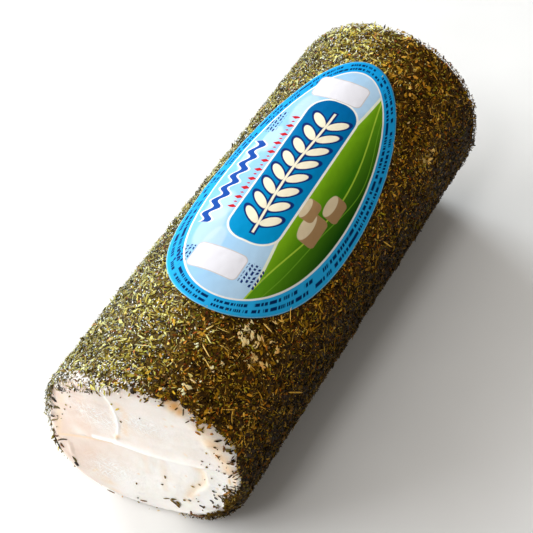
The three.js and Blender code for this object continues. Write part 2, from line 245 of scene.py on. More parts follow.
# %% Ways along the skin
COAT_START = 2.8  # how far along the skin from the face's corner the herbs begin, on average
COAT_WAVES = ((0.7, 7, 0.0), (0.45, 11, 0.7), (0.35, 17, 0.0))  # its raggedness: height, turns, phase


def coat_edge(end, angle):
    """How far along the skin the herbs begin: a ragged sum of cosines, and further where bare."""
    ragged = sum(height * np.cos(turns * angle + phase) for height, turns, phase in COAT_WAVES)
    bare = sum(back * bell(angle, at, spread) for at, spread, _, back in end["bare"])
    return COAT_START + bare + ragged


def skin_length(angle):
    """Length of the skin from the corner of one face to the corner of the other, at an angle."""
    spans = [
        end["outward"] * (end["x"] + wave(end, angle)) + rounding(end, angle) * (np.pi / 2 - 1)
        for end in (CUT_END, BACK_END)
    ]
    return spans[0] + spans[1]


def on_skin(angle, along, lift):
    """A point of the whole side: measured from the cut end on the near half, and from the back
    end on the far half."""
    length = skin_length(angle)
    near = near_end(CUT_END, angle, along, lift, COAT_TOP - lift)
    far = near_end(BACK_END, angle, length - along, lift, COAT_TOP - lift)
    return np.where((along < length / 2)[..., None], near, far)


print("skin length on top:", round(float(skin_length(np.zeros(1))[0]), 1), "mm")

# %% [markdown]
# The bare end is where a blade went through soft cheese. It left a long step across the face,
# with a lip of paste pushed up along it, an upright smear that meets it, a shallow spoon mark at
# the right, and fine drag lines. One could sculpt these by hand. Here each mark is a bell curve
# of the distance to a short bent line, so it can be moved by moving the line.

# %% Distance to a bent line
def from_line(line, across, up):
    """The distance of every place to a bent line, plus on the left of its direction and minus on
    the right, and how far along the line its nearest point is, from 0 to 1."""
    line = np.array(line, float)
    lengths = np.linalg.norm(np.diff(line, axis=0), axis=1)
    best = np.full(np.shape(across), np.inf)
    signed, share, before = np.zeros_like(best), np.zeros_like(best), 0.0
    for a, b, length in zip(line[:-1], line[1:], lengths):
        run = (b - a) / length
        dx, dy = across - a[0], up - a[1]
        t = np.clip(dx * run[0] + dy * run[1], 0, length)
        distance = np.hypot(dx - t * run[0], dy - t * run[1])
        nearer = distance < best
        side = np.sign(run[0] * dy - run[1] * dx)
        best = np.where(nearer, distance, best)
        signed = np.where(nearer, side * distance, signed)
        share = np.where(nearer, (before + t) / lengths.sum(), share)
        before += length
    return signed, share


# %% Marks on the two ends
# Places on a face are in mm across and up, from its middle, as seen by someone who looks at it.
STEP_LINE = ((-46, -14), (-32, -7.6), (-20, -2.6), (-9, 0.2), (4, 1.8), (17.6, 3.3), (27.2, 4.4), (46, 5.6))
SMEAR_LINE = ((-11.8, 46), (-9.8, 33.4), (-7.8, 26), (-7, 18.5), (-7.4, 12), (-8.8, 5), (-11, -5))
BACK_STEP_LINE = ((-46, 10), (-20, 5), (0, -2), (22, -4), (46, -9))
CUT_FACETS = (
    # line that the knife followed, depth under the face, more depth per mm across and up, width
    (STEP_LINE, 0.9, (0.02, 0.01), 0.5),
    (SMEAR_LINE, 0.4, (0.008, 0.0), 1.2),
)
BACK_FACETS = ((BACK_STEP_LINE, 0.7, (-0.01, 0.008), 0.8),)
CUT_RIDGES = (
    # path, width, height, where along the path it is highest, how much wider its left side is
    (((-9.4, 31.4), (-7.8, 25.3), (-7, 18.5), (-7.3, 12), (-8.6, 5.4)), 0.9, 0.45, 0.55, 0.7),
    (((-20, -2.4), (-6.6, 1.2), (3.8, 2.5), (12.7, 3.6), (20.5, 4.6), (27.2, 5.6), (31, 6.0)),
     1.1, 1.5, 0.62, 1.6),
    (((23, 3.0), (24.7, -2), (25.1, -6.8), (23.3, -11.5), (20.9, -15), (17.4, -23)), 1.6, 0.45, 0.4, 1.5),
    (((24.8, 24.4), (25.6, 20.6), (26.2, 16.6)), 1.4, 0.5, 0.5, 1.0),
    (((-10.4, 3.8), (-7.4, 4.6)), 1.0, 0.7, 0.5, 1.0),
    (((-29.7, -9.9), (-28.1, -12.5), (-27.5, -15.9), (-26.6, -18.3)), 0.8, 0.5, 0.5, 1.0),
)
BACK_RIDGES = (
    (((-26, 6.5), (-10, 1.8), (4, -2.4), (20, -3.9)), 1.6, 0.9, 0.4, 1.0),
    (((8, 28), (10, 18), (8, 8)), 1.3, 0.5, 0.5, 1.0),
)
FACE_RIPPLES = (
    # height, size in mm, turn in degrees and stretch of the softness and drag lines of a face
    (0.16, 16, 0, 1),
    (0.04, 3.6, 20, 3),
    (0.016, 1.5, 0, 1),
)
FLAKY_PATCHES = ((-15, 13, 10, 8), (2.5, 18.6, 9, 6), (-11.5, -19.5, 9, 7))  # middle, then reach
FLAKE_HEIGHT = 0.04
DRAG_HEIGHT = 0.05
HOLLOW_DEPTH = 0.45
print("ridges on the bare end:", len(CUT_RIDGES), "on the back end:", len(BACK_RIDGES))


# %% Relief of a face
def flat_points(across, up, turn=0.0, stretch=1.0):
    """Places on a face as points for `ripples`, turned, and stretched along the turned direction."""
    c, s = math.cos(math.radians(turn)), math.sin(math.radians(turn))
    return np.stack([(across * c + up * s) / stretch, up * c - across * s, np.zeros_like(across)], -1)


def window(across, up, middle, reach):
    """A bell over an oval patch of the face."""
    return np.exp(-(((across - middle[0]) / reach[0]) ** 2) - ((up - middle[1]) / reach[1]) ** 2)


def face_relief(across, up, facets, ridges, seed):
    """How far the face stands out: minus the knife's facets, each a smooth drop over its line,
    plus the ridges, each a bell across its path that swells and thins along it, plus drag lines
    and a general softness, which are ripples of several sizes."""
    relief = np.zeros_like(across)
    for line, depth, lean, width in facets:
        side, _ = from_line(line, across, up)
        taken = np.maximum(depth + lean[0] * across + lean[1] * up, 0)
        relief = np.minimum(relief, -taken * smooth(-side, -width / 2, width / 2))
    for path, width, height, peak, lean in ridges:
        side, share = from_line(path, across, up)
        side = np.where(side > 0, side / lean, side * lean)
        swell = np.sin(np.pi * share ** (math.log(0.5) / math.log(peak)))
        relief = relief + height * (0.25 + 0.75 * swell) * np.exp(-((side / width) ** 2))
    for number, (height, size, turn, stretch) in enumerate(FACE_RIPPLES):
        relief += height * ripples(flat_points(across, up, turn, stretch), size, seed + number)
    return relief


def flakiness(across, up):
    """Where the paste tore into fine flakes as the knife dragged: the highest of three bells."""
    return np.maximum.reduce([window(across, up, patch[:2], patch[2:]) for patch in FLAKY_PATCHES])


def cut_marks(across, up):
    """Marks that only the bare end has: flakes beside the smear, faint drag lines below the step,
    and a shallow hollow inside the spoon mark's ridge. Each is ripples or 1, times a bell."""
    flakes = flakiness(across, up) * ripples(flat_points(across, up, 25, 2.5), 1.3, 31)
    drag = window(across, up, (6, -12), (14, 12)) * ripples(flat_points(across, up, 80, 6), 3.4, 33)
    hollow = window(across, up, (21.6, -3.4), (2.6, 6.5))
    return FLAKE_HEIGHT * flakes + DRAG_HEIGHT * drag - HOLLOW_DEPTH * hollow


# %% [markdown]
# The paste is one closed skin: rings from the middle of the bare face out to its rim, round the
# soft corner, along the side under the herbs, and in again over the back face. A cylinder with a
# Subdivision modifier would be quicker, but rings suit it better, because its rim is a function
# of the angle. They are close together on the faces, where the marks are, and far apart along the
# side, which is hidden.

# %% Paste mesh
AROUND = 440
FACE_RINGS = 84
BACK_FACE_RINGS = 60
CORNER_RINGS = 14
round_angles = np.arange(AROUND) * 2 * np.pi / AROUND


def face_rings(end, count, relief):
    """Rings over an end's face, from its middle to its corner: circles on the end's wave, which
    the relief moves outwards."""
    share = (np.arange(count) + 0.5)[:, None] / (count - 0.5)
    angle = round_angles[None, :]
    r = (CORE_RADIUS - rounding(end, angle)) * share
    base = on_log(end["x"] + wave(end, angle, share), angle, r, COAT_TOP)
    across, up = end["outward"] * base[..., 1], base[..., 2] - AXIS_HEIGHT
    base[..., 0] += end["outward"] * relief(across, up)
    return base


def corner_rings(end, count, relief):
    """Rings round the soft corner: the face's relief at the corner fades out towards the side."""
    part = (np.arange(count) + 1)[:, None] / count
    angle = round_angles[None, :]
    corner = CORE_RADIUS - rounding(end, angle)
    across, up = end["outward"] * -corner * np.sin(angle), corner * np.cos(angle)
    edge = rounding(end, angle) * np.pi / 2
    plain = near_end(end, angle, part * edge, 0.0, COAT_TOP)
    lumps = 0.12 * ripples(plain, 3.0, 41) + 0.05 * ripples(plain, 1.2, 42)
    lift = relief(across, up) * (1 - part) + lumps * np.sin(np.pi * part)
    return near_end(end, angle, part * edge, lift, COAT_TOP)


def ring_ways(end, face_count, corner_count):
    """How far the rings' points are from the corner of the face: minus over the face, and plus
    round the soft corner."""
    corner = rounding(end, round_angles)[None, :]
    share = (np.arange(face_count) + 0.5)[:, None] / (face_count - 0.5)
    part = (np.arange(corner_count) + 1)[:, None] / corner_count
    return np.concatenate([(share - 1) * (CORE_RADIUS - corner), part * corner * np.pi / 2])


def cut_face(across, up):
    """The relief of the bare end: facets, ridges and ripples, plus the marks of its own."""
    return face_relief(across, up, CUT_FACETS, CUT_RIDGES, 11) + cut_marks(across, up)


def back_face(across, up):
    """The relief of the back end, which has a plainer step."""
    return face_relief(across, up, BACK_FACETS, BACK_RIDGES, 21)


paste_rings = np.concatenate([
    face_rings(CUT_END, FACE_RINGS, cut_face),
    corner_rings(CUT_END, CORNER_RINGS, cut_face),
    corner_rings(BACK_END, CORNER_RINGS, back_face)[::-1],
    face_rings(BACK_END, BACK_FACE_RINGS, back_face)[::-1],
])
paste_ends = paste_rings[[0, -1]].mean(1)
paste_points = np.concatenate([paste_rings.reshape(-1, 3), paste_ends])
print("paste rings:", paste_rings.shape)

# %% [markdown]
# Materials could be wired up by hand in the Shader Editor. A small helper does it here, so that a
# finish reads as a few lines: it makes a node, sets its plain inputs and links the rest. Materials
# read Object coordinates, which are metres on every piece here, so a noise of scale 1000 has
# features a millimetre wide.

# %% Material helper
class Nodes:
    """A material's node tree, with short ways to add nodes, noise and colour ramps."""

    def __init__(self, name):
        self.material = bpy.data.materials.new(name)
        self.material.use_nodes = True
        self.tree = self.material.node_tree
        self.shader = self.tree.nodes["Principled BSDF"]
        self.place = self.add("ShaderNodeTexCoord").outputs["Object"]

    def add(self, kind, settings=None, **inputs):
        """A node with its settings and inputs. An underscore in an input's name is a space."""
        node = self.tree.nodes.new(kind)
        for key, value in (settings or {}).items():
            setattr(node, key, value)
        for key, value in inputs.items():
            self.put(node.inputs[key.replace("_", " ")], value)
        return node

    def put(self, socket, value):
        """Links the socket to another one, or sets its plain value."""
        if isinstance(value, bpy.types.NodeSocket):
            self.tree.links.new(value, socket)
        else:
            socket.default_value = value

    def math(self, operation, a, b=0.0, clamp=False):
        """A sum, product or other operation on one or two numbers."""
        node = self.add("ShaderNodeMath", {"operation": operation, "use_clamp": clamp})
        self.put(node.inputs[0], a)
        self.put(node.inputs[1], b)
        return node.outputs[0]

    def noise(self, size, detail=3.0, roughness=0.55):
        """Noise with features of `size` millimetres."""
        node = self.add("ShaderNodeTexNoise", Vector=self.place, Scale=1 / (size * MM), Detail=detail,
                        Roughness=roughness)
        return node.outputs["Fac"]

    def streaks(self, size, stretch, turn):
        """Noise drawn out to `stretch` times its size along a direction of the end faces."""
        placed = self.add("ShaderNodeMapping", {"vector_type": "TEXTURE"}, Vector=self.place)
        placed.inputs["Rotation"].default_value = (math.radians(turn), 0, 0)
        placed.inputs["Scale"].default_value = (size * MM * stretch, size * MM * stretch, size * MM)
        node = self.add("ShaderNodeTexNoise", Vector=placed.outputs[0], Scale=1.0, Detail=1.0)
        return node.outputs["Fac"]

    def value(self, name):
        """One of the numbers that the mesh carries at its points."""
        return self.add("ShaderNodeAttribute", {"attribute_name": name}).outputs["Fac"]

    def ramp(self, factor, stops):
        """A colour ramp through stops, each a position and a colour."""
        node = self.add("ShaderNodeValToRGB", Fac=factor)
        elements = node.color_ramp.elements
        while len(elements) < len(stops):
            elements.new(1.0)
        for element, (position, colour) in zip(elements, stops):
            element.position = position
            element.color = (*colour, 1)
        return node.outputs["Color"]

    def rise(self, factor, low, high):
        """0 below `low`, 1 above `high`, and a straight rise between them."""
        return self.ramp(factor, ((low, (0.0, 0.0, 0.0)), (high, (1.0, 1.0, 1.0))))

    def mix(self, factor, a, b, blend="MIX"):
        """Two colours, mixed or multiplied. Of the Mix node's many sockets, inputs 0, 6 and 7 and
        output 2 are those for colours. The result is kept under 1, as no surface shines more."""
        settings = {"data_type": "RGBA", "blend_type": blend, "clamp_result": True}
        node = self.add("ShaderNodeMix", settings)
        for number, value in ((0, factor), (6, a), (7, b)):
            self.put(node.inputs[number], (*value, 1) if isinstance(value, tuple) else value)
        return node.outputs[2]

    def bump(self, height, distance, normal=None):
        """A bump of `distance` millimetres where the height goes from 0 to 1."""
        node = self.add("ShaderNodeBump", Height=height, Distance=distance * MM, Strength=1.0)
        if normal is not None:
            self.put(node.inputs["Normal"], normal)
        return node.outputs["Normal"]

    def finish(self, colour, roughness, normal=None, **others):
        """Puts colour, roughness and normal into the shader, and sets its other inputs."""
        self.put(self.shader.inputs["Base Color"], colour)
        self.put(self.shader.inputs["Roughness"], roughness)
        if normal is not None:
            self.put(self.shader.inputs["Normal"], normal)
        for key, value in others.items():
            self.shader.inputs[key.replace("_", " ")].default_value = value
        return self.material


# %% Screen colours
def srgb(*channels):
    """A screen colour from 0 to 255 as the linear colour that shaders use."""
    c = np.array(channels) / 255
    return tuple(float(v) for v in np.where(c <= 0.04045, c / 12.92, ((c + 0.055) / 1.055) ** 2.4))


# %% [markdown]
# Fresh goat cheese is nearly white, moist and softly translucent: light goes a millimetre or so
# into it, which subsurface scattering does. It is pinker towards one side, partly in its own tone
# and partly as painted shade. Painted light makes it whiter lower right, and painted highlights
# whiten its ridges. It is peach to orange where it has dried or taken up oil from the herbs, and
# peach with painted shade beside its ridges and under its lip, and it is torn into fine white
# flakes in places. Each of these is a number on the mesh that the material mixes by.

# %% Paste finish
def paste_finish():
    """White, then pink with painted shade, whiter with painted light and highlights, specks, stains with
    painted shade, and torn flakes, each mixed over the last.
    """
    n = Nodes("goat cheese paste")
    clean = n.ramp(n.noise(9.0, 4.0), (
        (0.30, srgb(243, 235, 226)),
        (0.55, srgb(249, 245, 240)),
        (0.75, srgb(251, 248, 244)),
    ))
    # pinker where the value is plus: the paste's own pink and painted shade
    pink = n.mix(n.value("blush"), clean, srgb(234, 211, 195))
    # whiter where the value is minus: painted light and painted highlights
    painted_whiter = n.mix(n.math("MULTIPLY", n.value("blush"), -1.0), pink, srgb(255, 253, 247))
    speckle = n.math("MULTIPLY", n.rise(n.noise(1.6, 2.0), 0.68, 0.80), 0.25)
    speckled = n.mix(speckle, painted_whiter, srgb(244, 214, 184))
    # the stains and the painted shade along the lines go peach, then orange
    stain_and_painted_shade = n.value("stain_and_painted_shade")
    peach = n.mix(n.rise(stain_and_painted_shade, 0.0, 0.5), speckled, srgb(245, 217, 183))
    stained_and_shaded = n.mix(n.rise(stain_and_painted_shade, 0.45, 1.0), peach, srgb(236, 176, 100))
    lines = n.streaks(0.42, 9.0, 35)
    for turn in (-50, 75, 5):
        lines = n.math("MAXIMUM", lines, n.streaks(0.42, 9.0, turn))
    flakes = n.math("MULTIPLY", n.rise(lines, 0.57, 0.64), n.value("flaky"))
    whitened = n.mix(n.math("MULTIPLY", flakes, 0.9), stained_and_shaded, srgb(255, 254, 252))
    grain = n.bump(n.noise(0.8, 3.0), 0.04)
    soft = n.bump(n.noise(3.0, 2.0), 0.10, normal=grain)
    torn = n.bump(flakes, 0.08, normal=soft)
    return n.finish(
        whitened, 0.40, torn,
        Subsurface_Weight=0.2,
        Subsurface_Radius=(1.0, 0.6, 0.35),
        Subsurface_Scale=0.0007,
    )


# %% [markdown]
# The stains of the bare end lie round its rim and along its marks, and painted shade of the same
# peach lies beside its ridges and under its lip. A painted mask would need a picture file. Here
# every stain is a bell curve, round a place on the rim or along a bent line, and the strongest one
# counts. The painted highlights, the painted light and the pink with its painted shade are made
# the same way.

# %% Stains, painted shade and painted light of the bare end
STAINS = (
    # angle in degrees, way from the corner of the face, reach round and along in mm, strength
    (18, 4.8, 1.8, 1.8, 0.85), (22, 4.2, 2.4, 2.2, 1.0), (26, 3.6, 1.8, 1.8, 0.85),  # orange wedge
    (-58, -25.0, 1.5, 0.9, 0.65),  # lump where the smear meets the step
    (-70, -1.7, 5.0, 1.2, 0.30), (-88, -1.8, 6.0, 1.4, 0.34), (-100, -1.2, 4.0, 1.2, 0.30),  # left rim
    (42, 3.6, 5.0, 2.6, 0.44), (54, 2.0, 6.0, 3.2, 0.54), (66, 0.8, 6.0, 3.0, 0.54),  # right rim
    (76, 0.6, 5.0, 2.6, 0.52), (86, 0.8, 4.0, 2.0, 0.46), (92, -1.5, 2.2, 0.7, 0.60),
    (92, 0.8, 3.0, 1.0, 0.50), (99, 0.2, 3.0, 1.0, 0.50), (107, -0.5, 4.0, 1.0, 0.46),
    (113, -3.7, 2.4, 1.0, 0.30), (145, -6.6, 1.0, 2.0, 0.35), (130, -10.2, 1.4, 1.8, 0.28),  # low right
    (-140, -5.3, 0.6, 1.2, 0.50), (-153, -3.9, 3.0, 2.0, 0.24), (-160, -0.3, 2.5, 1.0, 0.26),  # low left
    (26, -7.5, 0.5, 0.6, 0.50), (29, -4.9, 0.5, 0.5, 0.50), (22, -3.9, 0.8, 0.4, 0.32),  # small spots
    (-50, -6.1, 0.9, 0.5, 0.50), (63, -12.7, 1.0, 0.5, 0.35), (-94, -2.1, 0.5, 0.5, 0.55),
    (112, -16.8, 0.4, 0.4, 0.42), (144, -14.6, 0.4, 0.4, 0.42), (106, -5.2, 0.5, 0.4, 0.50),
    (128, -8.1, 0.7, 0.4, 0.42), (-173, -18.5, 0.5, 0.4, 0.55),
)
STAIN_AND_SHADE_LINES = (
    # bent line across and up on the face, width, strength: stains, and painted shade
    # painted shade to the right of the upright smear's ridge
    (((-5.5, 28.5), (-3.4, 23.0), (-4.0, 16.0), (-5.1, 9.2)), 1.5, 0.27),
    # painted shadow under the lip along the step
    (((-34, -9.4), (-20, -3.9), (-9, -1.1), (4, 0.7), (17, 2.1)), 0.5, 0.48),
    # a crack stained orange at the lip's right end
    (((22.0, 4.0), (24.0, 4.2), (27.2, 4.9), (30.1, 4.0)), 0.5, 0.85),
    # painted shade in the hollow inside the spoon mark
    (((20.6, 1.8), (23.1, -2.6), (23.1, -7.2), (19.3, -12.8), (17.3, -19.6)), 1.9, 0.34),
    # two faint darker streaks down the lower facet
    (((1.0, -2.0), (1.8, -12.8)), 1.3, 0.14),
    (((7.7, -2.6), (8.1, -20.7)), 1.3, 0.14),
)
PAINTED_HIGHLIGHT_LINES = (
    # bent line across and up on the face, width, how much whiter, as painted highlights on ridges
    (((-18, -0.9), (-8, 1.5), (4, 3.0), (14, 4.2), (24, 5.6)), 0.7, 1.1),
    (((-9.4, 31.4), (-7.8, 25.3), (-7, 18.5), (-7.3, 12), (-8.6, 5.4)), 0.5, 1.0),
    (((25.4, 3.0), (26.2, -3.4), (25.6, -8.5), (22.0, -15.0), (17.6, -23.5)), 1.5, 1.0),
    (((24.0, 23.5), (25.4, 19.6), (26.2, 15.6)), 1.2, 0.9),
)


def cut_end_stains_and_shade(angle, way, across, up):
    """The strongest of the bells over the stains, in ways along the skin, and over the lines, which are
    stains and painted shade.
    """
    stain_and_painted_shade = np.zeros_like(way)
    reach = np.hypot(across, up)
    for degrees, middle, round_reach, along_reach, strength in STAINS:
        aside = apart(angle, degrees) * reach / round_reach
        spot = np.exp(-(aside**2) - ((way - middle) / along_reach) ** 2)
        stain_and_painted_shade = np.maximum(stain_and_painted_shade, strength * spot)
    for line, width, strength in STAIN_AND_SHADE_LINES:
        aside, _ = from_line(line, across, up)
        stain_and_painted_shade = np.maximum(stain_and_painted_shade, strength * np.exp(-((aside / width) ** 2)) * (way < 0))
    return stain_and_painted_shade


def cut_end_pink_light_and_shade(places):
    """Plus where the paste is pinker and minus where it is whiter. It is pink to the left, partly its
    own tone and partly painted shade, with weaker painted shade above the step, uneven by ripples.
    From this go the painted light below right and low in the middle, and the painted highlights
    along the lines."""
    across, up = -places[..., 1], places[..., 2] - AXIS_HEIGHT
    above_step, _ = from_line(STEP_LINE, across, up)
    # painted light: whiter below right of the step and low in the middle, and painted highlights along the
    # lines
    white = smooth(across, 8, 24) * smooth(-above_step, -0.5, 3)
    white = np.maximum(white, 0.6 * window(across, up, (4, -27), (18, 9)))
    for line, width, strength in PAINTED_HIGHLIGHT_LINES:
        aside, _ = from_line(line, across, up)
        white = np.maximum(white, strength * np.exp(-((aside / width) ** 2)))
    # pink to the left, the paste's own tone and painted shade, and painted shade above the step
    left = smooth(-across, -6, 24)
    above = 0.42 * smooth(above_step, 0.2, 4) * smooth(-across, -30, 5)
    uneven = 0.85 + 0.2 * ripples(places, 8.0, 92)
    return np.maximum(left, above) * uneven * (1 - np.minimum(white, 1)) - white


# %% Paste with its stains, painted shade and painted light
cut_rows = FACE_RINGS + CORNER_RINGS
cut_rings, back_rings = paste_rings[:cut_rows], paste_rings[cut_rows:]
cut_across, cut_up = -cut_rings[..., 1], cut_rings[..., 2] - AXIS_HEIGHT
back_across, back_up = back_rings[..., 1], back_rings[..., 2] - AXIS_HEIGHT
cut_angle = np.broadcast_to(round_angles, cut_across.shape)
cut_way = ring_ways(CUT_END, FACE_RINGS, CORNER_RINGS)
back_way = ring_ways(BACK_END, BACK_FACE_RINGS, CORNER_RINGS)[::-1]
back_stains = 0.4 * smooth(back_way, -3, 2) * smooth(ripples(back_rings, 9.0, 91), -0.2, 0.9)
back_blush = np.clip(0.4 + 0.4 * ripples(back_rings, 20.0, 93), 0, 1)
back_flakes = 0.7 * window(back_across, back_up, (8, 12), (12, 8))
stain_and_painted_shade = np.concatenate([cut_end_stains_and_shade(cut_angle, cut_way, cut_across, cut_up), back_stains])
blush = np.concatenate([cut_end_pink_light_and_shade(cut_rings), back_blush])
flaky = np.concatenate([flakiness(cut_across, cut_up), back_flakes])
print("strongest stain:", round(float(stain_and_painted_shade.max()), 2), "pinkest:", round(float(blush.max()), 2))


def with_ends(values):
    """The rings' values, and the values of the two points that close the skin."""
    return np.concatenate([values.ravel(), values[[0, -1]].mean(1)])


paste = new_piece(
    "cheese_paste", paste_points, ring_faces(len(paste_rings), AROUND), paste_finish(),
    {"stain_and_painted_shade": with_ends(stain_and_painted_shade), "blush": with_ends(blush), "flaky": with_ends(flaky)},
)
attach(paste, "root")
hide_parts("goat_cheese")

# %% [markdown]
# The coat isn't the same all round. Towards the window side it is greener and paler, towards the
# front browner and darker, and in a few spots the paste shows between the bits. The greener and
# browner come partly from other kinds of bits. The paler and darker, with some of the hue, are
# painted light and shade. It also has a low relief of clumps, and one crease where the side was
# handled. Weights could be painted on the mesh for these. Here all of them are functions of the
# place, so the mat and the loose bits on it agree.

# %% How the herb coat varies
THIN_SPOTS = (
    # place along the axis, angle in degrees, reach along and round in mm, strength
    (-55, 33, 4.0, 4.0, 0.50),
    (-60, 41, 4.0, 3.0, 0.50),
    (-51, 46, 4.0, 3.0, 0.40),
    (62, 62, 6.0, 4.0, 0.55),
    (30, 150, 9.0, 6.0, 0.50),
    (-20, -95, 9.0, 7.0, 0.45),
    (70, -120, 8.0, 6.0, 0.45),
)
THIN_BAND = (-36, 27, 6.0, 0.64)  # beside the bare end: middle, spread in degrees, reach, strength
THIN_EDGE = (2.0, 0.45)  # all along the coat's edge: reach and strength
THIN_BREAKS = 0.9  # how far ripples break up the thin places
CREASE = ((-66, -6), (-72, -1), (-80, 3), (-88, 9), (-95, 13))  # along the axis, round from the top
CREASE_DEPTH = 0.8
CREASE_FADE = 9  # how far in front of the crease the coat is level again
FRONT = 80  # degrees from the top to the middle of the browner side
# LOW_FRONT is where the painted shade of the herbs is darkest.
LOW_FRONT = 110  # and to the side's darkest place, low on the front


def angle_of(points):
    """The angle of a point from the top towards the front."""
    return np.arctan2(-points[..., 1], points[..., 2] - AXIS_HEIGHT)


def side_of(angle):
    """1 low on the front and 0 opposite, evenly in between: 0.39 at the top."""
    return 1 - np.abs(apart(angle, LOW_FRONT)) / np.pi


def frontness(angle):
    """0 on the window side, 1 on the front, with a quick change near the top."""
    return smooth(0.5 + 0.5 * np.cos(apart(angle, FRONT)), 0.42, 0.72)


def thinness(points, along):
    """How far the herbs are missing: bells over the thin spots, a band beside the bare end on the
    window side, and a falling edge, all broken up by ripples about 2 mm wide."""
    angle = angle_of(points)
    thin = np.zeros(points.shape[:-1])
    for x, degrees, length, width, strength in THIN_SPOTS:
        away = apart(angle, degrees) * LOG_RADIUS / width
        thin = np.maximum(thin, strength * np.exp(-(((points[..., 0] - x) / length) ** 2) - away**2))
    beside = np.maximum(along - coat_edge(CUT_END, angle), 0)
    degrees, spread, reach, strength = THIN_BAND
    band = strength * np.exp(-((beside / reach) ** 2)) * bell(angle, degrees, spread)
    reach, strength = THIN_EDGE
    thin = np.maximum(np.maximum(thin, band), strength * np.exp(-beside / reach))
    return np.clip(thin + THIN_BREAKS * thin * ripples(points, 1.8, 51), 0, 1)


def crease_step(points):
    """1 just in front of the crease, fading away from it, and 0 behind it and past its ends."""
    side, share = from_line(CREASE, points[..., 0], angle_of(points) * LOG_RADIUS)
    fade = np.exp(-np.maximum(side, 0) / CREASE_FADE)
    return smooth(side, -1.5, 1.0) * np.sin(np.pi * share) ** 0.5 * fade


def coat_relief(points):
    """Clumps, as ripples of two sizes, and a step down across the crease towards the front."""
    clumps = 0.24 * ripples(points, 8.0, 61) + 0.16 * ripples(points, 3.4, 62)
    return clumps - CREASE_DEPTH * crease_step(points)


# %% [markdown]
# Under the loose herb bits lies a mat of finer ones, pressed into the paste. Bits laid so thick
# that no paste shows between them would take millions of triangles. One sleeve does it instead:
# it has a lumpy outside and a hidden plain inside, and is ragged at both ends.

# %% Mat of fine herbs
MAT_AROUND = 300
MAT_ROWS = 230
MAT_LIFT = GAP + 0.25
MAT_INSET = 0.4  # how far it ends short of the loose bits
MAT_UNDERSIDE = 0.05  # height of its inside over the paste
INSIDE_STEP = 8  # its inside has every eighth ring only


def mat_rings():
    """Rings of the sleeve: outside from end to end, lifted by ripples that fade at the ends, then
    inside and back. With them comes how far along the skin each point is."""
    angle = (np.arange(MAT_AROUND) * 2 * np.pi / MAT_AROUND)[None, :]
    start = coat_edge(CUT_END, angle) + MAT_INSET
    stop = skin_length(angle) - coat_edge(BACK_END, angle) - MAT_INSET
    along = start + (stop - start) * np.linspace(0, 1, MAT_ROWS)[:, None]
    plain = on_skin(angle, along, MAT_LIFT)
    ends = smooth(np.minimum(along - start, stop - along), 0.0, 3.0)
    lumps = coat_relief(plain) + 0.12 * ripples(plain, 1.6, 63) + 0.07 * ripples(plain, 0.9, 64)
    outer = on_skin(angle, along, MAT_LIFT * (0.2 + 0.8 * ends) + np.maximum(lumps, -0.6) * ends)
    outer[..., 2] = np.maximum(outer[..., 2], 0)
    inside = along[::INSIDE_STEP][::-1]
    inner = on_skin(angle, inside, MAT_UNDERSIDE)
    return np.concatenate([outer, inner]), np.concatenate([along, inside])


mat_all, mat_along = mat_rings()
print("mat rings:", mat_all.shape)

# %% [markdown]
# Dried herbs range from near-black to straw. The mat's colour is a ramp over noise about a
# millimetre wide, so it reads as crumbs even between the loose bits. Where the herbs are
# missing it has the paste's own cream. All the herbs, mat and bits, then get painted light and
# shade by their side. They are paler and bluer towards the window, as painted light and sheen, and
# darker and warmer low on the front, as painted shade. The number called side is 0 at the back,
# 0.39 on top and 1 low on the front.

# %% Mat finish
PAINTED_LIGHT_BY_SIDE = (
    # side value, and what the colours are multiplied by there, as painted light and shade
    (0.0, (0.88, 0.92, 0.95)),
    (0.16, (1.02, 1.04, 1.14)),
    (0.28, (1.58, 1.62, 1.90)),
    (0.39, (1.74, 1.68, 1.78)),
    (0.46, (1.60, 1.34, 1.20)),
    (0.56, (1.24, 0.95, 0.54)),
    (0.69, (1.15, 0.88, 0.32)),
    (0.77, (0.64, 0.48, 0.12)),
    (0.86, (0.34, 0.26, 0.06)),
    (1.0, (0.26, 0.19, 0.05)),
)


def mat_finish():
    """Crumbs in four browns by noise, cream where the herbs are missing, times the painted light and shade
    of the side.
    """
    n = Nodes("herb mat")
    crumbs = n.ramp(n.noise(1.0, 5.0, 0.7), (
        (0.35, srgb(34, 24, 5)),
        (0.52, srgb(72, 54, 13)),
        (0.66, srgb(118, 94, 28)),
        (0.80, srgb(170, 144, 66)),
    ))
    cream = n.ramp(n.noise(1.4, 3.0), ((0.35, srgb(214, 200, 176)), (0.6, srgb(240, 234, 222))))
    colour = n.mix(n.rise(n.value("thinness"), 0.38, 0.50), crumbs, cream)
    # painted light and shade: the colour times the tint of its side
    with_painted_light = n.mix(1.0, colour, n.ramp(n.value("side"), PAINTED_LIGHT_BY_SIDE), "MULTIPLY")
    return n.finish(with_painted_light, 0.5, n.bump(n.noise(0.6, 4.0), 0.25), Specular_IOR_Level=0.15)


mat_points = mat_all.reshape(-1, 3)
mat = new_piece(
    "herb_mat", mat_points, ring_faces(len(mat_all), MAT_AROUND, loop=True), mat_finish(),
    {"thinness": thinness(mat_all, mat_along).ravel(), "side": side_of(angle_of(mat_points))},
)
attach(mat, "root")
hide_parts("herb_coat")

# %% [markdown]
# On the mat lie about ninety thousand loose bits: torn leaf, needles, stems and crumbs. A particle
# system would be the usual way, but joined meshes travel better, so each kind is one mesh made
# from arrays. Every bit is a closed chip with its own size, turn, tilt, fold and tone. Its frame
# comes from two more points of the log's skin close by.

# %% Chips of herb
FLOOR_FILM = 0.03  # bits under the log are pressed flat this far over the floor
coat_low, coat_high = (np.array(corner) / MM for corner in cad_box)
coat_low[2] += FLOOR_FILM


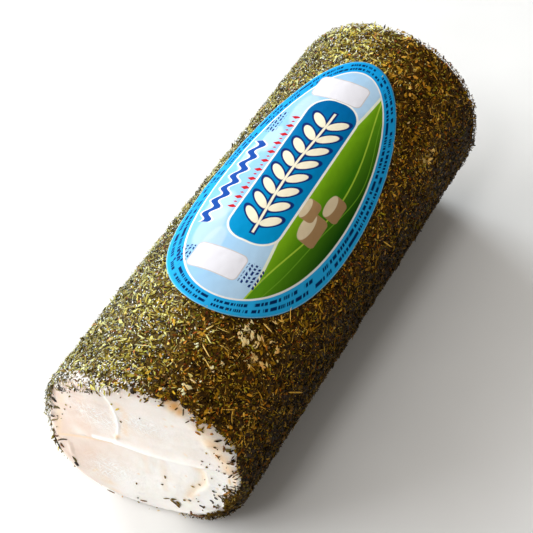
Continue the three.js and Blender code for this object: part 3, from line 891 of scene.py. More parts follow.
def skin_frames(angle, along, lift):
    """Place, direction along the log, direction round it and outward normal, for each bit: the
    directions are the differences to two points a small step away."""
    step = 0.05
    here = on_skin(angle, along, lift)
    down_log = on_skin(angle, along + step, lift) - here
    round_log = on_skin(angle + step / LOG_RADIUS, along, lift) - here
    down_log /= np.linalg.norm(down_log, axis=-1, keepdims=True)
    normal = np.cross(round_log, down_log)
    normal /= np.linalg.norm(normal, axis=-1, keepdims=True)
    return here, down_log, np.cross(down_log, normal), normal


def chips(rng, frames, length, width, thick, corners, spin, tilt=0.0, curl=0.0, fold=0.0):
    """Closed chips: an uneven outline of `corners` points in each bit's own plane, with one point
    above its middle and one below. The outline is turned by `spin` and tilted at random. Its tips
    rise by `curl` and its sides by `fold`, times the square of their place over the bit's length."""
    here, first, second, normal = frames
    count = len(here)
    run = np.cos(spin)[:, None] * first + np.sin(spin)[:, None] * second
    side = np.cross(normal, run)
    slope = np.clip(rng.normal(0, tilt, (count, 2)), -2.2 * tilt, 2.2 * tilt)
    turn = 2 * np.pi * (np.arange(corners) + rng.uniform(-0.26, 0.26, (count, corners))) / corners
    reach = rng.uniform(0.7, 1.0, (count, corners))
    u = reach * np.cos(turn) * length[:, None] / 2
    v = reach * np.sin(turn) * width[:, None] / 2
    bent = (curl * u * u + fold * v * v) / length[:, None]
    w = slope[:, :1] * u + slope[:, 1:] * v + bent
    rim = (here[:, None] + u[..., None] * run[:, None] + v[..., None] * side[:, None]
           + w[..., None] * normal[:, None])
    half = (thick / 2) * normal
    points = np.concatenate([rim, (here + half)[:, None], (here - half)[:, None]], 1)
    a = np.arange(corners)
    b = (a + 1) % corners
    top = np.stack([a, b, np.full(corners, corners)], -1)
    under = np.stack([b, a, np.full(corners, corners + 1)], -1)
    one = np.concatenate([top, under])
    faces = (one[None] + (np.arange(count) * (corners + 2))[:, None, None]).reshape(-1, 3)
    return np.clip(points, coat_low, coat_high).reshape(-1, 3), faces


# %% [markdown]
# The label keeps the bits under it away, so its place comes here. Its paper is an oval, a little
# wider towards the bare end, bent round the top of the log. A place on it has two numbers from
# -1 to 1, along and over, and both the scatter and the print use them.

# %% Place of the label
LABEL_CENTRE_X = 11.3
LABEL_CENTRE_ANGLE = math.radians(2.9)  # from the top towards the front
LABEL_HALF_LENGTH = 66.9
LABEL_HALF_WIDTH = 33.4
LABEL_TURN = math.radians(-1.1)  # its far end leans to the back
LABEL_TAPER = 0.16  # how much wider it is towards the bare end, and narrower at the other
LABEL_CLEAR = 0.985  # bits reach just under its edge


def label_share(points):
    """0 in the middle of the label and 1 on its edge: the length of the place's two numbers."""
    dx = points[..., 0] - LABEL_CENTRE_X
    way = (angle_of(points) - LABEL_CENTRE_ANGLE) * LOG_RADIUS
    along = (dx * math.cos(LABEL_TURN) + way * math.sin(LABEL_TURN)) / LABEL_HALF_LENGTH
    over = way * math.cos(LABEL_TURN) - dx * math.sin(LABEL_TURN)
    half_width = LABEL_HALF_WIDTH * (1 - LABEL_TAPER * np.clip(along, -1.2, 1.2))
    return np.hypot(along, over / half_width)


# %% Scattering bits over the skin
DULL, WET, DRIPPING = 0.05, 0.25, 1.0  # how strongly a kind of bit shines
GAP_KINDS = ("wet_paste_crumbs", "dull_paste_crumbs")  # these lie where the herbs are missing
SPILL = 1.5  # how far the bits stray over the coat's edge at the bare end
SPILL_BELLS = ((122, 24, 2.5), (58, 30, -0.8))  # middle, spread in degrees, how much further
BACK_SPILL = 1.6
END_CLEAR = 0.3  # no bit lies nearer to the corner of a face


def herb_share(kind, angle, along, plain):
    """The share of a kind's bits that is kept at each place. For wet bits it is all on the window
    side and falls to none on the front, and for dull ones the other way round. Herbs are few in
    thin spots and paste crumbs many. The drops of whey, whose pale colour is painted glints, are
    most beside the cut."""
    front = frontness(angle)
    share = front if kind["shine"] == DULL else 1 - front
    missing = thinness(plain, along)
    if kind["name"] in GAP_KINDS:
        return share * (0.01 + 2.0 * missing)
    share = share * (1 - smooth(missing, 0.25, 0.7))
    if kind["shine"] < DRIPPING:
        return share
    beside = np.maximum(along - coat_edge(CUT_END, angle), 0)
    return share * (0.7 + 0.3 * np.exp(-beside / 7)) + 0.8 * (1 - front) * np.exp(-beside / 5)


def herb_places(rng, count, kind):
    """Random places on the skin, evenly spread, of which a share is kept. Some spill over the
    coat's ragged edge, and none lie under the label. Neighbours lie in like directions, which
    ripples give, and patches of them are darker or lighter at random. Just in front of the crease
    they are darker, as painted shade."""
    angle = rng.uniform(-np.pi, np.pi, count)
    length = skin_length(angle)
    spill = SPILL + sum(further * bell(angle, at, spread) for at, spread, further in SPILL_BELLS)
    start = coat_edge(CUT_END, angle) - spill * rng.exponential(0.5, count)
    stop = length - coat_edge(BACK_END, angle) + BACK_SPILL * rng.exponential(0.5, count)
    along = start + (stop - start) * rng.uniform(0, 1, count)
    plain = on_skin(angle, along, COAT_TOP)
    kept = rng.uniform(0, 1, count) < herb_share(kind, angle, along, plain)
    kept &= label_share(plain) > LABEL_CLEAR
    kept &= (along > END_CLEAR) & (along < length - END_CLEAR)
    angle, along, plain = angle[kept], along[kept], plain[kept]
    lift = GAP + kind["height"] + coat_relief(plain) + rng.uniform(-0.45, 0.35, len(angle))
    lie = math.pi * ripples(plain, 22.0, 52)
    spin = lie + rng.normal(0, kind["stray"], len(angle))
    # tone patches at random, less painted shade just in front of the crease
    patch = 0.2 * ripples(plain, 7.0, 53) - 0.35 * crease_step(plain)
    return skin_frames(angle, along, lift), spin, angle, patch


# %% [markdown]
# One finish serves all the herbs: only its range of colours differs. Each bit has a tone from 0
# to 1, and a little noise shades it within. On the front the leaf is dull, and a white room would
# grey its dark colours, so its specular level is low. Towards the window it is wet with whey and
# oil, and its many small facets glint.

# %% Herb finishes
def herb_finish(name, dark, middle, light, shine):
    """Three screen colours along the tone, which noise shades, times the painted light and shade of the
    side.
    """
    n = Nodes(name)
    grain = n.math("MULTIPLY", n.math("SUBTRACT", n.noise(0.5, 3.0), 0.5), 1.1)
    tone = n.math("ADD", n.value("tone"), grain, clamp=True)
    colour = n.ramp(tone, ((0.0, srgb(*dark)), (0.5, srgb(*middle)), (1.0, srgb(*light))))
    # painted light and shade: the colour times the tint of its side
    with_painted_light = n.mix(1.0, colour, n.ramp(n.value("side"), PAINTED_LIGHT_BY_SIDE), "MULTIPLY")
    normal = n.bump(n.noise(0.5, 2.0), 0.10)
    coat = 1.0 if shine == DRIPPING else 0.0
    return n.finish(with_painted_light, 0.45 - 0.3 * shine, normal, Specular_IOR_Level=shine, Coat_Weight=coat)


def dress(piece, node="herb_coat"):
    """Fixes a herb piece to the log in the place of a solid."""
    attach(piece, "root")
    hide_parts(node)


def herb_piece(name, points, faces, corners, tone, side, colours, shine=DULL, node="herb_coat"):
    """A mesh of chips with flat faces. All points of a chip have its tone and its side."""
    per_chip = corners + 2
    values = {"tone": np.repeat(tone, per_chip), "side": np.repeat(side, per_chip)}
    finish = herb_finish(name, *colours, shine)
    dress(new_piece(name, points, [faces], finish, values, flat=True), node)


# %% Kinds of herb
KIND_FIELDS = ("name", "shine", "count", "height", "length", "width", "thick", "corners", "tilt", "stray",
               "dark", "middle", "light")
HERB_KINDS = (
    # name, shine, how many, height over the skin, length, width, thickness in mm, corners,
    # tilt, stray from the lie, then its dark, middle and light colour
    ("wet_green_leaf", WET, 18000, 0.95, (1.4, 3.6), (0.4, 0.95), 0.14, 5, 0.42, 0.8,
     (92, 80, 8), (152, 142, 38), (206, 206, 136)),
    ("wet_olive_leaf", WET, 13000, 0.90, (1.4, 3.6), (0.4, 1.1), 0.14, 5, 0.40, 0.8,
     (78, 56, 3), (136, 110, 14), (190, 168, 60)),
    ("wet_dark_leaf", WET, 15000, 0.80, (1.2, 3.2), (0.5, 1.2), 0.14, 4, 0.40, 0.8,
     (16, 10, 0), (48, 35, 3), (98, 76, 12)),
    ("wet_brown_leaf", WET, 3500, 0.95, (1.2, 2.8), (0.4, 1.0), 0.14, 5, 0.40, 0.8,
     (60, 28, 8), (124, 66, 24), (190, 124, 56)),
    ("wet_needles", WET, 12000, 1.0, (1.8, 4.6), (0.22, 0.45), 0.22, 4, 0.25, 0.7,
     (88, 74, 8), (162, 144, 38), (222, 216, 136)),
    ("wet_crumbs", WET, 14000, 0.95, (0.4, 1.1), (0.3, 0.7), 0.35, 4, 0.5, 3.0,
     (24, 18, 4), (110, 96, 30), (220, 210, 140)),
    ("wet_torn_leaf", WET, 3500, 1.05, (2.2, 4.6), (0.8, 1.8), 0.16, 7, 0.20, 0.9,
     (88, 76, 8), (144, 132, 32), (202, 198, 112)),
    ("wet_stems", WET, 500, 1.15, (3.0, 7.5), (0.3, 0.5), 0.35, 6, 0.06, 3.0,
     (150, 130, 50), (204, 188, 104), (240, 232, 170)),
    # pale blue-white drops of whey, wet and coated; their colour is painted glints
    ("whey_drops", DRIPPING, 44000, 1.12, (0.35, 1.0), (0.25, 0.65), 0.14, 4, 0.50, 3.0,
     (172, 184, 168), (218, 232, 224), (244, 252, 248)),
    ("wet_paste_crumbs", WET, 34000, 0.95, (0.6, 1.8), (0.4, 1.0), 0.3, 5, 0.35, 1.0,
     (200, 186, 160), (230, 220, 204), (246, 242, 234)),
    ("dull_olive_leaf", DULL, 12000, 0.85, (1.0, 2.6), (0.35, 0.9), 0.14, 5, 0.40, 0.9,
     (46, 38, 4), (112, 96, 14), (196, 174, 54)),
    ("dull_green_leaf", DULL, 6000, 0.85, (1.0, 2.6), (0.35, 0.9), 0.14, 5, 0.40, 0.9,
     (52, 56, 6), (104, 108, 20), (176, 180, 76)),
    ("dull_dark_leaf", DULL, 24000, 0.80, (1.0, 2.8), (0.4, 1.1), 0.14, 4, 0.40, 0.8,
     (12, 8, 1), (44, 30, 4), (98, 72, 16)),
    ("dull_red_leaf", DULL, 6500, 0.85, (0.8, 2.2), (0.3, 0.9), 0.14, 5, 0.40, 0.9,
     (66, 28, 6), (140, 72, 16), (220, 150, 62)),
    ("dull_needles", DULL, 12000, 1.0, (1.6, 4.2), (0.2, 0.38), 0.22, 4, 0.25, 0.7,
     (60, 46, 6), (140, 112, 28), (242, 218, 128)),
    ("dull_crumbs", DULL, 18000, 0.95, (0.3, 0.9), (0.25, 0.6), 0.35, 4, 0.5, 3.0,
     (10, 6, 1), (84, 58, 10), (250, 214, 124)),
    ("dull_torn_leaf", DULL, 3500, 1.0, (1.8, 4.0), (0.9, 1.8), 0.16, 7, 0.18, 1.0,
     (44, 32, 4), (106, 82, 14), (176, 144, 44)),
    ("honey_leaf", DULL, 1600, 1.05, (1.2, 3.0), (0.6, 1.3), 0.16, 7, 0.16, 1.0,
     (156, 106, 26), (216, 170, 70), (250, 222, 150)),
    # bright gold specks on the front, whose colour is painted glints
    ("gold_specks", DULL, 8000, 1.15, (0.3, 0.9), (0.25, 0.5), 0.3, 4, 0.5, 3.0,
     (210, 164, 78), (250, 218, 140), (255, 248, 222)),
    ("dull_stems", DULL, 560, 1.15, (3.0, 7.5), (0.3, 0.5), 0.35, 6, 0.06, 3.0,
     (170, 132, 48), (216, 178, 90), (242, 218, 146)),
    ("dull_paste_crumbs", DULL, 20000, 0.95, (0.6, 1.8), (0.4, 1.0), 0.3, 5, 0.35, 1.0,
     (200, 186, 160), (230, 220, 204), (246, 242, 234)),
)
HERB_SEED = 404

herb_total = 0
for number, row in enumerate(HERB_KINDS):
    kind = dict(zip(KIND_FIELDS, row))
    rng = np.random.default_rng(HERB_SEED + number)
    frames, spin, angle, patch = herb_places(rng, kind["count"], kind)
    total = len(spin)
    points, faces = chips(
        rng, frames, rng.uniform(*kind["length"], total), rng.uniform(*kind["width"], total),
        kind["thick"], kind["corners"], spin, kind["tilt"],
        curl=rng.normal(0, 0.35, (total, 1)), fold=rng.normal(0, 1.2, (total, 1)),
    )
    tone = np.clip(rng.normal(0.47, 0.34, total) + patch, 0, 1)
    colours = (kind["dark"], kind["middle"], kind["light"])
    herb_piece(kind["name"], points, faces, kind["corners"], tone, side_of(angle), colours, kind["shine"])
    herb_total += total
print("loose bits:", herb_total)

# %% [markdown]
# Where the coat stops, longer slivers of leaf hang over the rim towards the middle of the face.
# The loose bits could simply be spread further, but then the rim would look sprinkled. Slivers lie
# across the rim rather than at random, and bend over its soft corner.

# %% Slivers over the rims
SLIVERS = 220  # on each end
SLIVER_CORNERS = 6
SLIVER_COLOURS = ((34, 24, 4), (84, 68, 16), (146, 126, 50))


def sliver_piece(name, end, seed):
    """Chips at random angles near the coat's edge, turned along the log, whose tips bend down."""
    rng = np.random.default_rng(seed)
    angle = rng.uniform(-np.pi, np.pi, SLIVERS)
    if end is CUT_END:  # few where the paste shows clean, low on the left
        angle = angle[rng.uniform(0, 1, SLIVERS) > 0.9 * bell(angle, -150, 45)]
    count = len(angle)
    inward = np.maximum(coat_edge(end, angle) + rng.uniform(-2.4, 1.2, count), 0.8)
    along = inward if end is CUT_END else skin_length(angle) - inward
    frames = skin_frames(angle, along, GAP + rng.uniform(0.0, 0.5, count))
    length = rng.uniform(1.6, 3.6, count)
    points, faces = chips(
        rng, frames, length, rng.uniform(0.5, 1.1, count), 0.3, SLIVER_CORNERS,
        rng.normal(0, 0.6, count), tilt=0.10, curl=-0.12 * length[:, None],
    )
    tone = np.clip(rng.normal(0.4, 0.3, count), 0, 1)
    herb_piece(name, points, faces, SLIVER_CORNERS, tone, side_of(angle), SLIVER_COLOURS)


sliver_piece("cut_rim_slivers", CUT_END, 73)
sliver_piece("back_rim_slivers", BACK_END, 74)

# %% [markdown]
# The largest leaves on the bare end's rim are placed one by one. They are soft with moisture and
# cling to the paste. A flat leaf with a Shrinkwrap modifier would do for one or two. Here each is a
# slim tube of rings, worked out on the flat, in ways along the skin and round it, and then all of
# them are put on the log at once.

# %% Places of the rim leaves
RIM_LEAVES = (
    # angle in degrees, way from the face's corner, length, width, turn from the log's direction, tone
    (-53, 4.2, 6.0, 1.5, 78, 0.2), (-46, 3.8, 4.2, 0.8, 122, 0.1), (-56, 2.2, 5.5, 0.7, 103, 0.1),
    (-56, 0.6, 5.4, 0.9, 124, 0.1), (-40, 1.4, 6.0, 0.5, 103, 0.4), (-76, 0.7, 2.8, 1.1, 14, 0.1),
    (-82, -0.8, 3.0, 1.2, 141, 0.3), (-92, 0.9, 2.4, 0.7, 157, 0.1), (-95, 0.8, 3.0, 0.5, 141, 0.4),
    (-104, 1.5, 2.6, 1.0, 83, 0.3), (-107, 0.7, 2.4, 0.6, 173, 0.6), (-109, -1.6, 4.6, 0.6, 167, 0.2),
    (-114, -0.3, 2.5, 0.6, 76, 0.6), (-113, 2.2, 6.5, 0.7, 71, 0.0), (-126, -1.9, 3.1, 0.9, 97, 0.3),
    (-130, -0.9, 2.4, 1.2, 98, 0.0), (-34, 3.8, 4.2, 0.5, 109, 0.6), (-28, 2.9, 4.1, 0.35, 118, 0.6),
    (-25, 4.2, 2.2, 0.4, 132, 0.3), (-22, 4.3, 4.4, 0.6, 119, 0.1), (-16, 5.1, 4.0, 1.1, 118, 0.1),
    (-15, 6.7, 3.1, 0.5, 140, 0.9), (-10, 4.6, 3.3, 0.6, 156, 0.35), (-7, 4.5, 1.9, 0.6, 146, 0.6),
    (-4, 4.0, 2.4, 1.2, 85, 0.35), (0, 3.7, 2.6, 1.3, 155, 0.0), (2, 4.8, 2.6, 0.6, 131, 0.4),
    (4, 2.4, 1.1, 0.5, 107, 0.6), (8, 2.3, 2.0, 0.7, 102, 0.1), (12, 4.0, 2.3, 0.6, 95, 0.1),
    (16, 4.5, 2.0, 1.1, 61, 0.0), (20, 6.5, 2.7, 1.8, 49, 0.0), (24, 7.2, 2.5, 0.6, 0, 0.6),
    (26, 6.1, 2.4, 1.2, 98, 0.1), (34, 4.0, 1.7, 0.9, 79, 0.6), (42, 1.5, 2.4, 0.8, 78, 0.9),
    (42, 3.2, 2.2, 0.6, 93, 0.4), (37, 4.2, 0.9, 0.6, 81, 0.6), (47, 4.8, 1.2, 0.7, 53, 0.9),
    (64, -0.2, 2.0, 0.7, 79, 0.9), (59, 4.3, 2.8, 0.7, 121, 0.6), (61, 4.9, 1.7, 1.2, 43, 0.4),
    (71, 3.4, 1.4, 1.0, 54, 0.6), (78, 2.8, 2.5, 0.7, 142, 0.6), (104, -1.3, 5.0, 0.7, 109, 0.9),
    (99, -2.3, 3.2, 0.6, 78, 0.3), (104, 0.3, 2.3, 1.0, 121, 0.0), (118, -3.5, 1.6, 0.8, 0, 0.1),
    (124, -3.4, 1.9, 0.6, 0, 0.1), (137, -2.5, 2.4, 0.6, 144, 0.1), (-158, 1.6, 3.2, 0.45, 90, 0.6),
    (-178, -0.8, 2.8, 0.45, 82, 0.6), (146, 1.2, 6.2, 0.6, 109, 0.6),
)
print("leaves on the rim:", len(RIM_LEAVES))

# %% Leaves draped over the rim
LEAF_RINGS = 9
LEAF_SIDES = 6
LEAF_THICKNESS = 0.45
CORNER_CLEAR = 0.1  # what lies round the soft corner is lifted over its small lumps


def end_skin(end, relief, angle, way, lift):
    """A point of an end's skin. `way` is measured from the corner of the face: minus over the
    face, plus round the soft corner and along the side."""
    flat_radius = CORE_RADIUS - rounding(end, angle)
    r = np.maximum(flat_radius + np.minimum(way, 0), 0)
    out = end["outward"] * (relief(-end["outward"] * r * np.sin(angle), r * np.cos(angle)) + lift)
    inner = on_log(end["x"] + wave(end, angle, r / flat_radius) + out, angle, r, COAT_TOP)
    over_corner = lift + CORNER_CLEAR
    outer = near_end(end, angle, np.maximum(way, 0), over_corner, COAT_TOP - over_corner)
    return np.where((way < 0)[..., None], inner, outer)


def draped_leaves(rng, leaves):
    """Closed tubes: rings of six points along each leaf, wide in the middle and thin at the tips,
    turned on the skin and bowed a little to one side. A turned way along the skin is the way, and
    a turned way round it, over the reach, is the angle."""
    degrees, way, length, width, turn, _ = (column[:, None, None] for column in leaves.T)
    run = np.linspace(-1, 1, LEAF_RINGS)[None, :, None]
    swell = (1 - np.abs(run) ** 2.4) ** 0.6 + 0.16
    swell = swell * rng.uniform(0.78, 1.12, (len(leaves), LEAF_RINGS, 1))
    round_way = np.arange(LEAF_SIDES) * 2 * np.pi / LEAF_SIDES
    bow = rng.normal(0, 0.12, (len(leaves), 1, 1)) * length * run**2
    u = run * length / 2
    v = width / 2 * swell * np.cos(round_way) + bow
    height = LEAF_THICKNESS * (0.35 + 0.5 * np.minimum(swell, 1) * np.sin(round_way))
    turn = np.radians(turn)
    corner = CUT_END["rounding"]
    reach = CORE_RADIUS - corner + np.clip(way, -30, corner)
    angle = np.radians(degrees) + (u * np.sin(turn) - v * np.cos(turn)) / reach
    return end_skin(CUT_END, cut_face, angle, way + u * np.cos(turn) + v * np.sin(turn), height)


rng = np.random.default_rng(75)
rim_leaves = np.array(RIM_LEAVES, float)
leaf_rings = draped_leaves(rng, rim_leaves)
tips = leaf_rings[:, [0, -1]].mean(2)
leaf_points = np.concatenate([leaf_rings.reshape(len(rim_leaves), -1, 3), tips], 1)
leaf_points = np.clip(leaf_points, coat_low, coat_high)
per_leaf = leaf_points.shape[1]
starts = (np.arange(len(rim_leaves)) * per_leaf)[:, None, None]
one_leaf = ring_faces(LEAF_RINGS, LEAF_SIDES)
leaf_faces = [(part[None] + starts).reshape(-1, part.shape[1]) for part in one_leaf]


def rim_leaf_finish():
    """Dark olive, olive, red-brown and amber leaf, by tone, with a moist shine."""
    n = Nodes("rim leaves")
    grain = n.math("MULTIPLY", n.math("SUBTRACT", n.noise(0.8, 3.0), 0.5), 0.35)
    tone = n.math("ADD", n.value("tone"), grain, clamp=True)
    colour = n.ramp(tone, (
        (0.0, srgb(34, 20, 6)),
        (0.2, srgb(66, 48, 12)),
        (0.45, srgb(124, 106, 28)),
        (0.62, srgb(104, 52, 16)),
        (0.95, srgb(188, 124, 24)),
    ))
    return n.finish(colour, 0.38, n.bump(n.noise(0.5, 2.0), 0.08), Specular_IOR_Level=0.3)


dress(new_piece("cut_rim_leaves", leaf_points.reshape(-1, 3), leaf_faces, rim_leaf_finish(),
                {"tone": np.repeat(rim_leaves[:, 5], per_leaf)}))

# %% [markdown]
# On the middle of the front, flakes of cream-coloured paste and pale stems lie among the herbs.
# They catch the eye, so their places count and can't be left to chance. They are placed one by
# one, with the same chips as the loose bits.

# %% Flakes and stems that stand out
CREAM_FLAKES = (
    # place along the axis, angle in degrees, length, width, turn in degrees
    (-53, 29, 2.0, 0.8, 80), (-54, 29, 2.9, 0.8, 18), (-57, 28, 1.9, 1.2, 124), (-54, 33, 2.5, 1.4, 147),
    (-57, 32, 3.6, 1.7, 128), (-53, 38, 3.4, 1.3, 130), (-56, 38, 1.7, 1.4, 9), (-51, 48, 3.5, 1.5, -8),
    (-60, 41, 1.8, 1.2, 117), (-64, 41, 1.6, 0.8, 58), (-60, 46, 3.0, 2.1, 92), (-70, 29, 1.0, 0.9, 97),
    (-85, 21, 3.1, 1.7, 86), (-88, 21, 2.2, 1.4, 80), (-50, 30, 2.5, 0.7, 83), (-44, 39, 3.0, 0.7, 90),
    (-74, 26, 1.5, 0.9, 161), (-70, 14, 1.9, 1.0, 16), (62, 62, 3.0, 1.4, 20), (66, 60, 2.0, 1.2, 70),
)
PALE_STEMS = (
    (-54, 74, 8.0, 0.7, 47), (-70, 19, 5.1, 0.5, 121), (-66, 17, 3.6, 0.6, 121), (-48, 37, 4.2, 0.6, 95),
    (-76, -39, 5.0, 0.5, 123), (-62, 14, 3.3, 0.5, 25), (20, 70, 6.0, 0.6, 60), (50, -50, 5.5, 0.6, 30),
)
print("flakes:", len(CREAM_FLAKES), "stems:", len(PALE_STEMS))

CREAM_COLOURS = ((226, 180, 128), (252, 216, 172), (255, 230, 200))
STEM_COLOURS = ((190, 154, 78), (228, 198, 124), (246, 226, 166))
PLACED_CORNERS = 6
# Placed flakes and stems get the painted light and shade of herbs a little nearer to the top.
PLACED_SIDE = 0.93  # they are tinted like herbs a little nearer to the top


def placed_chips(name, places, height, thick, colours, seed, parts=1):
    """Chips at given places on the side, lying nearly flat. A flake of several parts is as many
    smaller chips, shifted and turned at random, so that its outline is ragged."""
    rng = np.random.default_rng(seed)
    x, degrees, length, width, turn = np.repeat(np.array(places, float), parts, axis=0).T
    if parts > 1:
        x = x + rng.normal(0, 0.45, len(x)) * width
        degrees = degrees + rng.normal(0, 0.45, len(x)) * width * 1.4
        length, width = length * rng.uniform(0.3, 0.85, len(x)), width * rng.uniform(0.35, 0.8, len(x))
        turn = turn + rng.normal(0, 35, len(x))
    angle = np.radians(degrees)
    along = x - (CUT_END["x"] + wave(CUT_END, angle)) + rounding(CUT_END, angle) * (np.pi / 2 - 1)
    lift = GAP + height + coat_relief(on_skin(angle, along, COAT_TOP))
    points, faces = chips(
        rng, skin_frames(angle, along, lift), length * 1.35, width * 1.2, thick, PLACED_CORNERS,
        np.radians(turn), tilt=0.05, curl=rng.normal(0, 0.15, (len(x), 1)),
    )
    tone, side = rng.uniform(0.2, 1, len(x)), PLACED_SIDE * side_of(angle)
    herb_piece(name, points, faces, PLACED_CORNERS, tone, side, colours)


placed_chips("cream_flakes", CREAM_FLAKES, 1.5, 0.3, CREAM_COLOURS, 77, parts=5)
placed_chips("pale_stems", PALE_STEMS, 1.8, 0.5, STEM_COLOURS, 78)

# %% [markdown]
# A few herb flecks were dragged over the bare ends, and many stuck to the wet rim low on the
# right. Texture painting would give them colour but no thickness. Here they are chips too: the
# larger ones are in a table, the small ones strewn at random round a few directions.

# %% Places of the flecks
CUT_FLECKS = (
    # across, up, length, width, turn in degrees. The first six are one torn leaf with its stem
    (8.0, -27.0, 3.4, 0.8, 30),
    (10.8, -25.6, 3.6, 1.2, 34),
    (10.2, -27.4, 3.2, 1.8, -40),
    (11.4, -28.2, 3.6, 1.7, -50),
    (12.6, -27.3, 3.2, 2.0, -60),
    (12.5, -29.4, 2.4, 1.6, -70),
    (15.1, -23.6, 1.7, 1.4, 40),
    (17.3, -22.2, 1.6, 1.3, 160),
    (8.4, -12.0, 2.0, 0.9, 96),
    (7.2, -17.3, 1.3, 1.0, 15),
    (18.8, -12.0, 2.2, 0.8, -35),
    (21.4, -9.6, 1.2, 0.9, -20),
    (25.2, 14.0, 1.2, 0.9, 100),
    (29.4, 13.6, 1.5, 1.2, 60),
    (23.3, 27.0, 2.4, 1.4, 8),
    (26.3, -2.0, 0.8, 0.7, 0),
    (-3.3, -0.6, 1.5, 0.8, 150),
    (-3.0, -22.5, 1.4, 0.9, 85),
    (-3.2, -32.6, 1.0, 0.8, 20),
    (-7.4, 27.7, 1.4, 1.0, 70),
    (-5.8, 25.0, 3.0, 0.8, 48),
    (-5.6, 16.7, 1.5, 0.7, 150),
    (-28.9, 9.8, 1.0, 0.9, 80),
    (-29.8, 6.6, 0.9, 0.8, 50),
)
BACK_FLECKS = (
    (-14, -18, 3.6, 2.4, 20),
    (16, -20, 3, 1.1, 75),
    (20, 16, 2.6, 1.6, 120),
    (-22, 20, 4.4, 0.8, 35),
    (2, 25, 1.9, 1.3, 60),
    (-4, -28, 2.4, 1.5, 95),
    (27, -8, 2, 1.3, 10),
    (-28, -10, 2.2, 1.4, 50),
)
STREWN = (
    # how many, middle angle and spread in degrees, way where they are most, how far in from there
    # on average, and the largest length in mm
    (3, 0, 180, 0.0, 16.0, 1.4),
    (8, -92, 14, 0.5, 1.2, 1.8),
    (10, -30, 40, 0.5, 1.2, 1.8),
    (26, 72, 28, 2.5, 2.6, 2.6),
    (800, 116, 24, 2.6, 1.1, 2.8),
)
print("placed flecks:", len(CUT_FLECKS), "and", len(BACK_FLECKS))
print("strewn on each end:", sum(patch[0] for patch in STREWN))

# %% Flecks on the ends
FLECK_CORNERS = 7
FLECK_THICKNESS = 0.5
FLECK_LIFT = 0.22
FLECK_STEP = 0.4  # how far apart the points are that give a fleck's plane
FLECK_COLOURS = ((50, 30, 4), (104, 92, 8), (168, 156, 40))
STREWN_TONE = 0.45  # strewn flecks are darker than those of the table


def strewn_flecks(rng, count, middle, spread, way, inward, longest):
    """Random flecks: places as an angle and a way, then length, width and turn. They reach
    further in where two sine waves of the angle add up."""
    angle = np.radians(middle + rng.uniform(-1, 1, count) * spread * rng.uniform(0.4, 1, count))
    clumps = np.clip(1 + 0.6 * np.sin(11 * angle) + 0.5 * np.sin(29 * angle + 1), 0.1, 2.4)
    ways = np.maximum(way - rng.exponential(inward, count) * clumps, -33)
    length = 0.5 + (longest - 0.5) * rng.beta(1.2, 2.2, count)
    return np.stack([angle, ways, length, length * rng.uniform(0.3, 0.7, count),
                     rng.uniform(0, np.pi, count)], -1)


def fleck_piece(name, end, relief, flecks, seed):
    """Chips on an end's skin: those of the table, given across and up, and the strewn ones. Each
    lies in the plane through three points of the skin close by, whose normal is the cross product
    of the two differences."""
    rng = np.random.default_rng(seed)
    across, up, length, width, turn = np.array(flecks, float).T
    angle = np.arctan2(-end["outward"] * across, up)
    way = np.hypot(across, up) - (CORE_RADIUS - rounding(end, angle))
    placed = np.stack([angle, way, length, width, np.radians(turn)], -1)
    small = [strewn_flecks(rng, *patch) for patch in STREWN]
    angle, way, length, width, turn = np.concatenate([placed, *small]).T
    here = end_skin(end, relief, angle, way, FLECK_LIFT)
    outwards = end_skin(end, relief, angle, way + FLECK_STEP, FLECK_LIFT) - here
    onwards = end_skin(end, relief, angle + FLECK_STEP / CORE_RADIUS, way, FLECK_LIFT) - here
    normal = -end["outward"] * np.cross(onwards, outwards)
    normal /= np.linalg.norm(normal, axis=1, keepdims=True)
    first = np.array([0.0, end["outward"], 0.01]) * np.ones((len(angle), 1))
    first -= (first * normal).sum(1, keepdims=True) * normal
    first /= np.linalg.norm(first, axis=1, keepdims=True)
    frames = (here, first, np.cross(normal, first), normal)
    points, faces = chips(
        rng, frames, length, width, FLECK_THICKNESS, FLECK_CORNERS, turn, tilt=0.12,
    )
    darker = np.where(np.arange(len(angle)) < len(placed), 1.0, STREWN_TONE)
    tone = rng.uniform(0, 1, len(angle)) * darker
    # The flecks get a milder share of the herbs' painted light and shade, capped short of the front's
    # darkest.
    side = np.minimum(0.3 + 0.4 * side_of(angle), 0.64)
    herb_piece(name, points, faces, FLECK_CORNERS, tone, side, FLECK_COLOURS, node="goat_cheese")


fleck_piece("cut_end_flecks", CUT_END, cut_face, CUT_FLECKS, 71)
fleck_piece("back_end_flecks", BACK_END, back_face, BACK_FLECKS, 72)

# %% [markdown]
# The label is thin gloss paper, bent round the log and stuck to the herbs, so it shows the bits
# beneath as faint bumps and its edge isn't quite flat. A plane with a Shrinkwrap modifier would
# fold on the rough coat. Here it is an oval grid with its own UV map, bent by arithmetic.

# %% Label mesh
LABEL_AROUND = 240
LABEL_RINGS = 60
LABEL_LIFT = 0.5
PAPER = 0.14


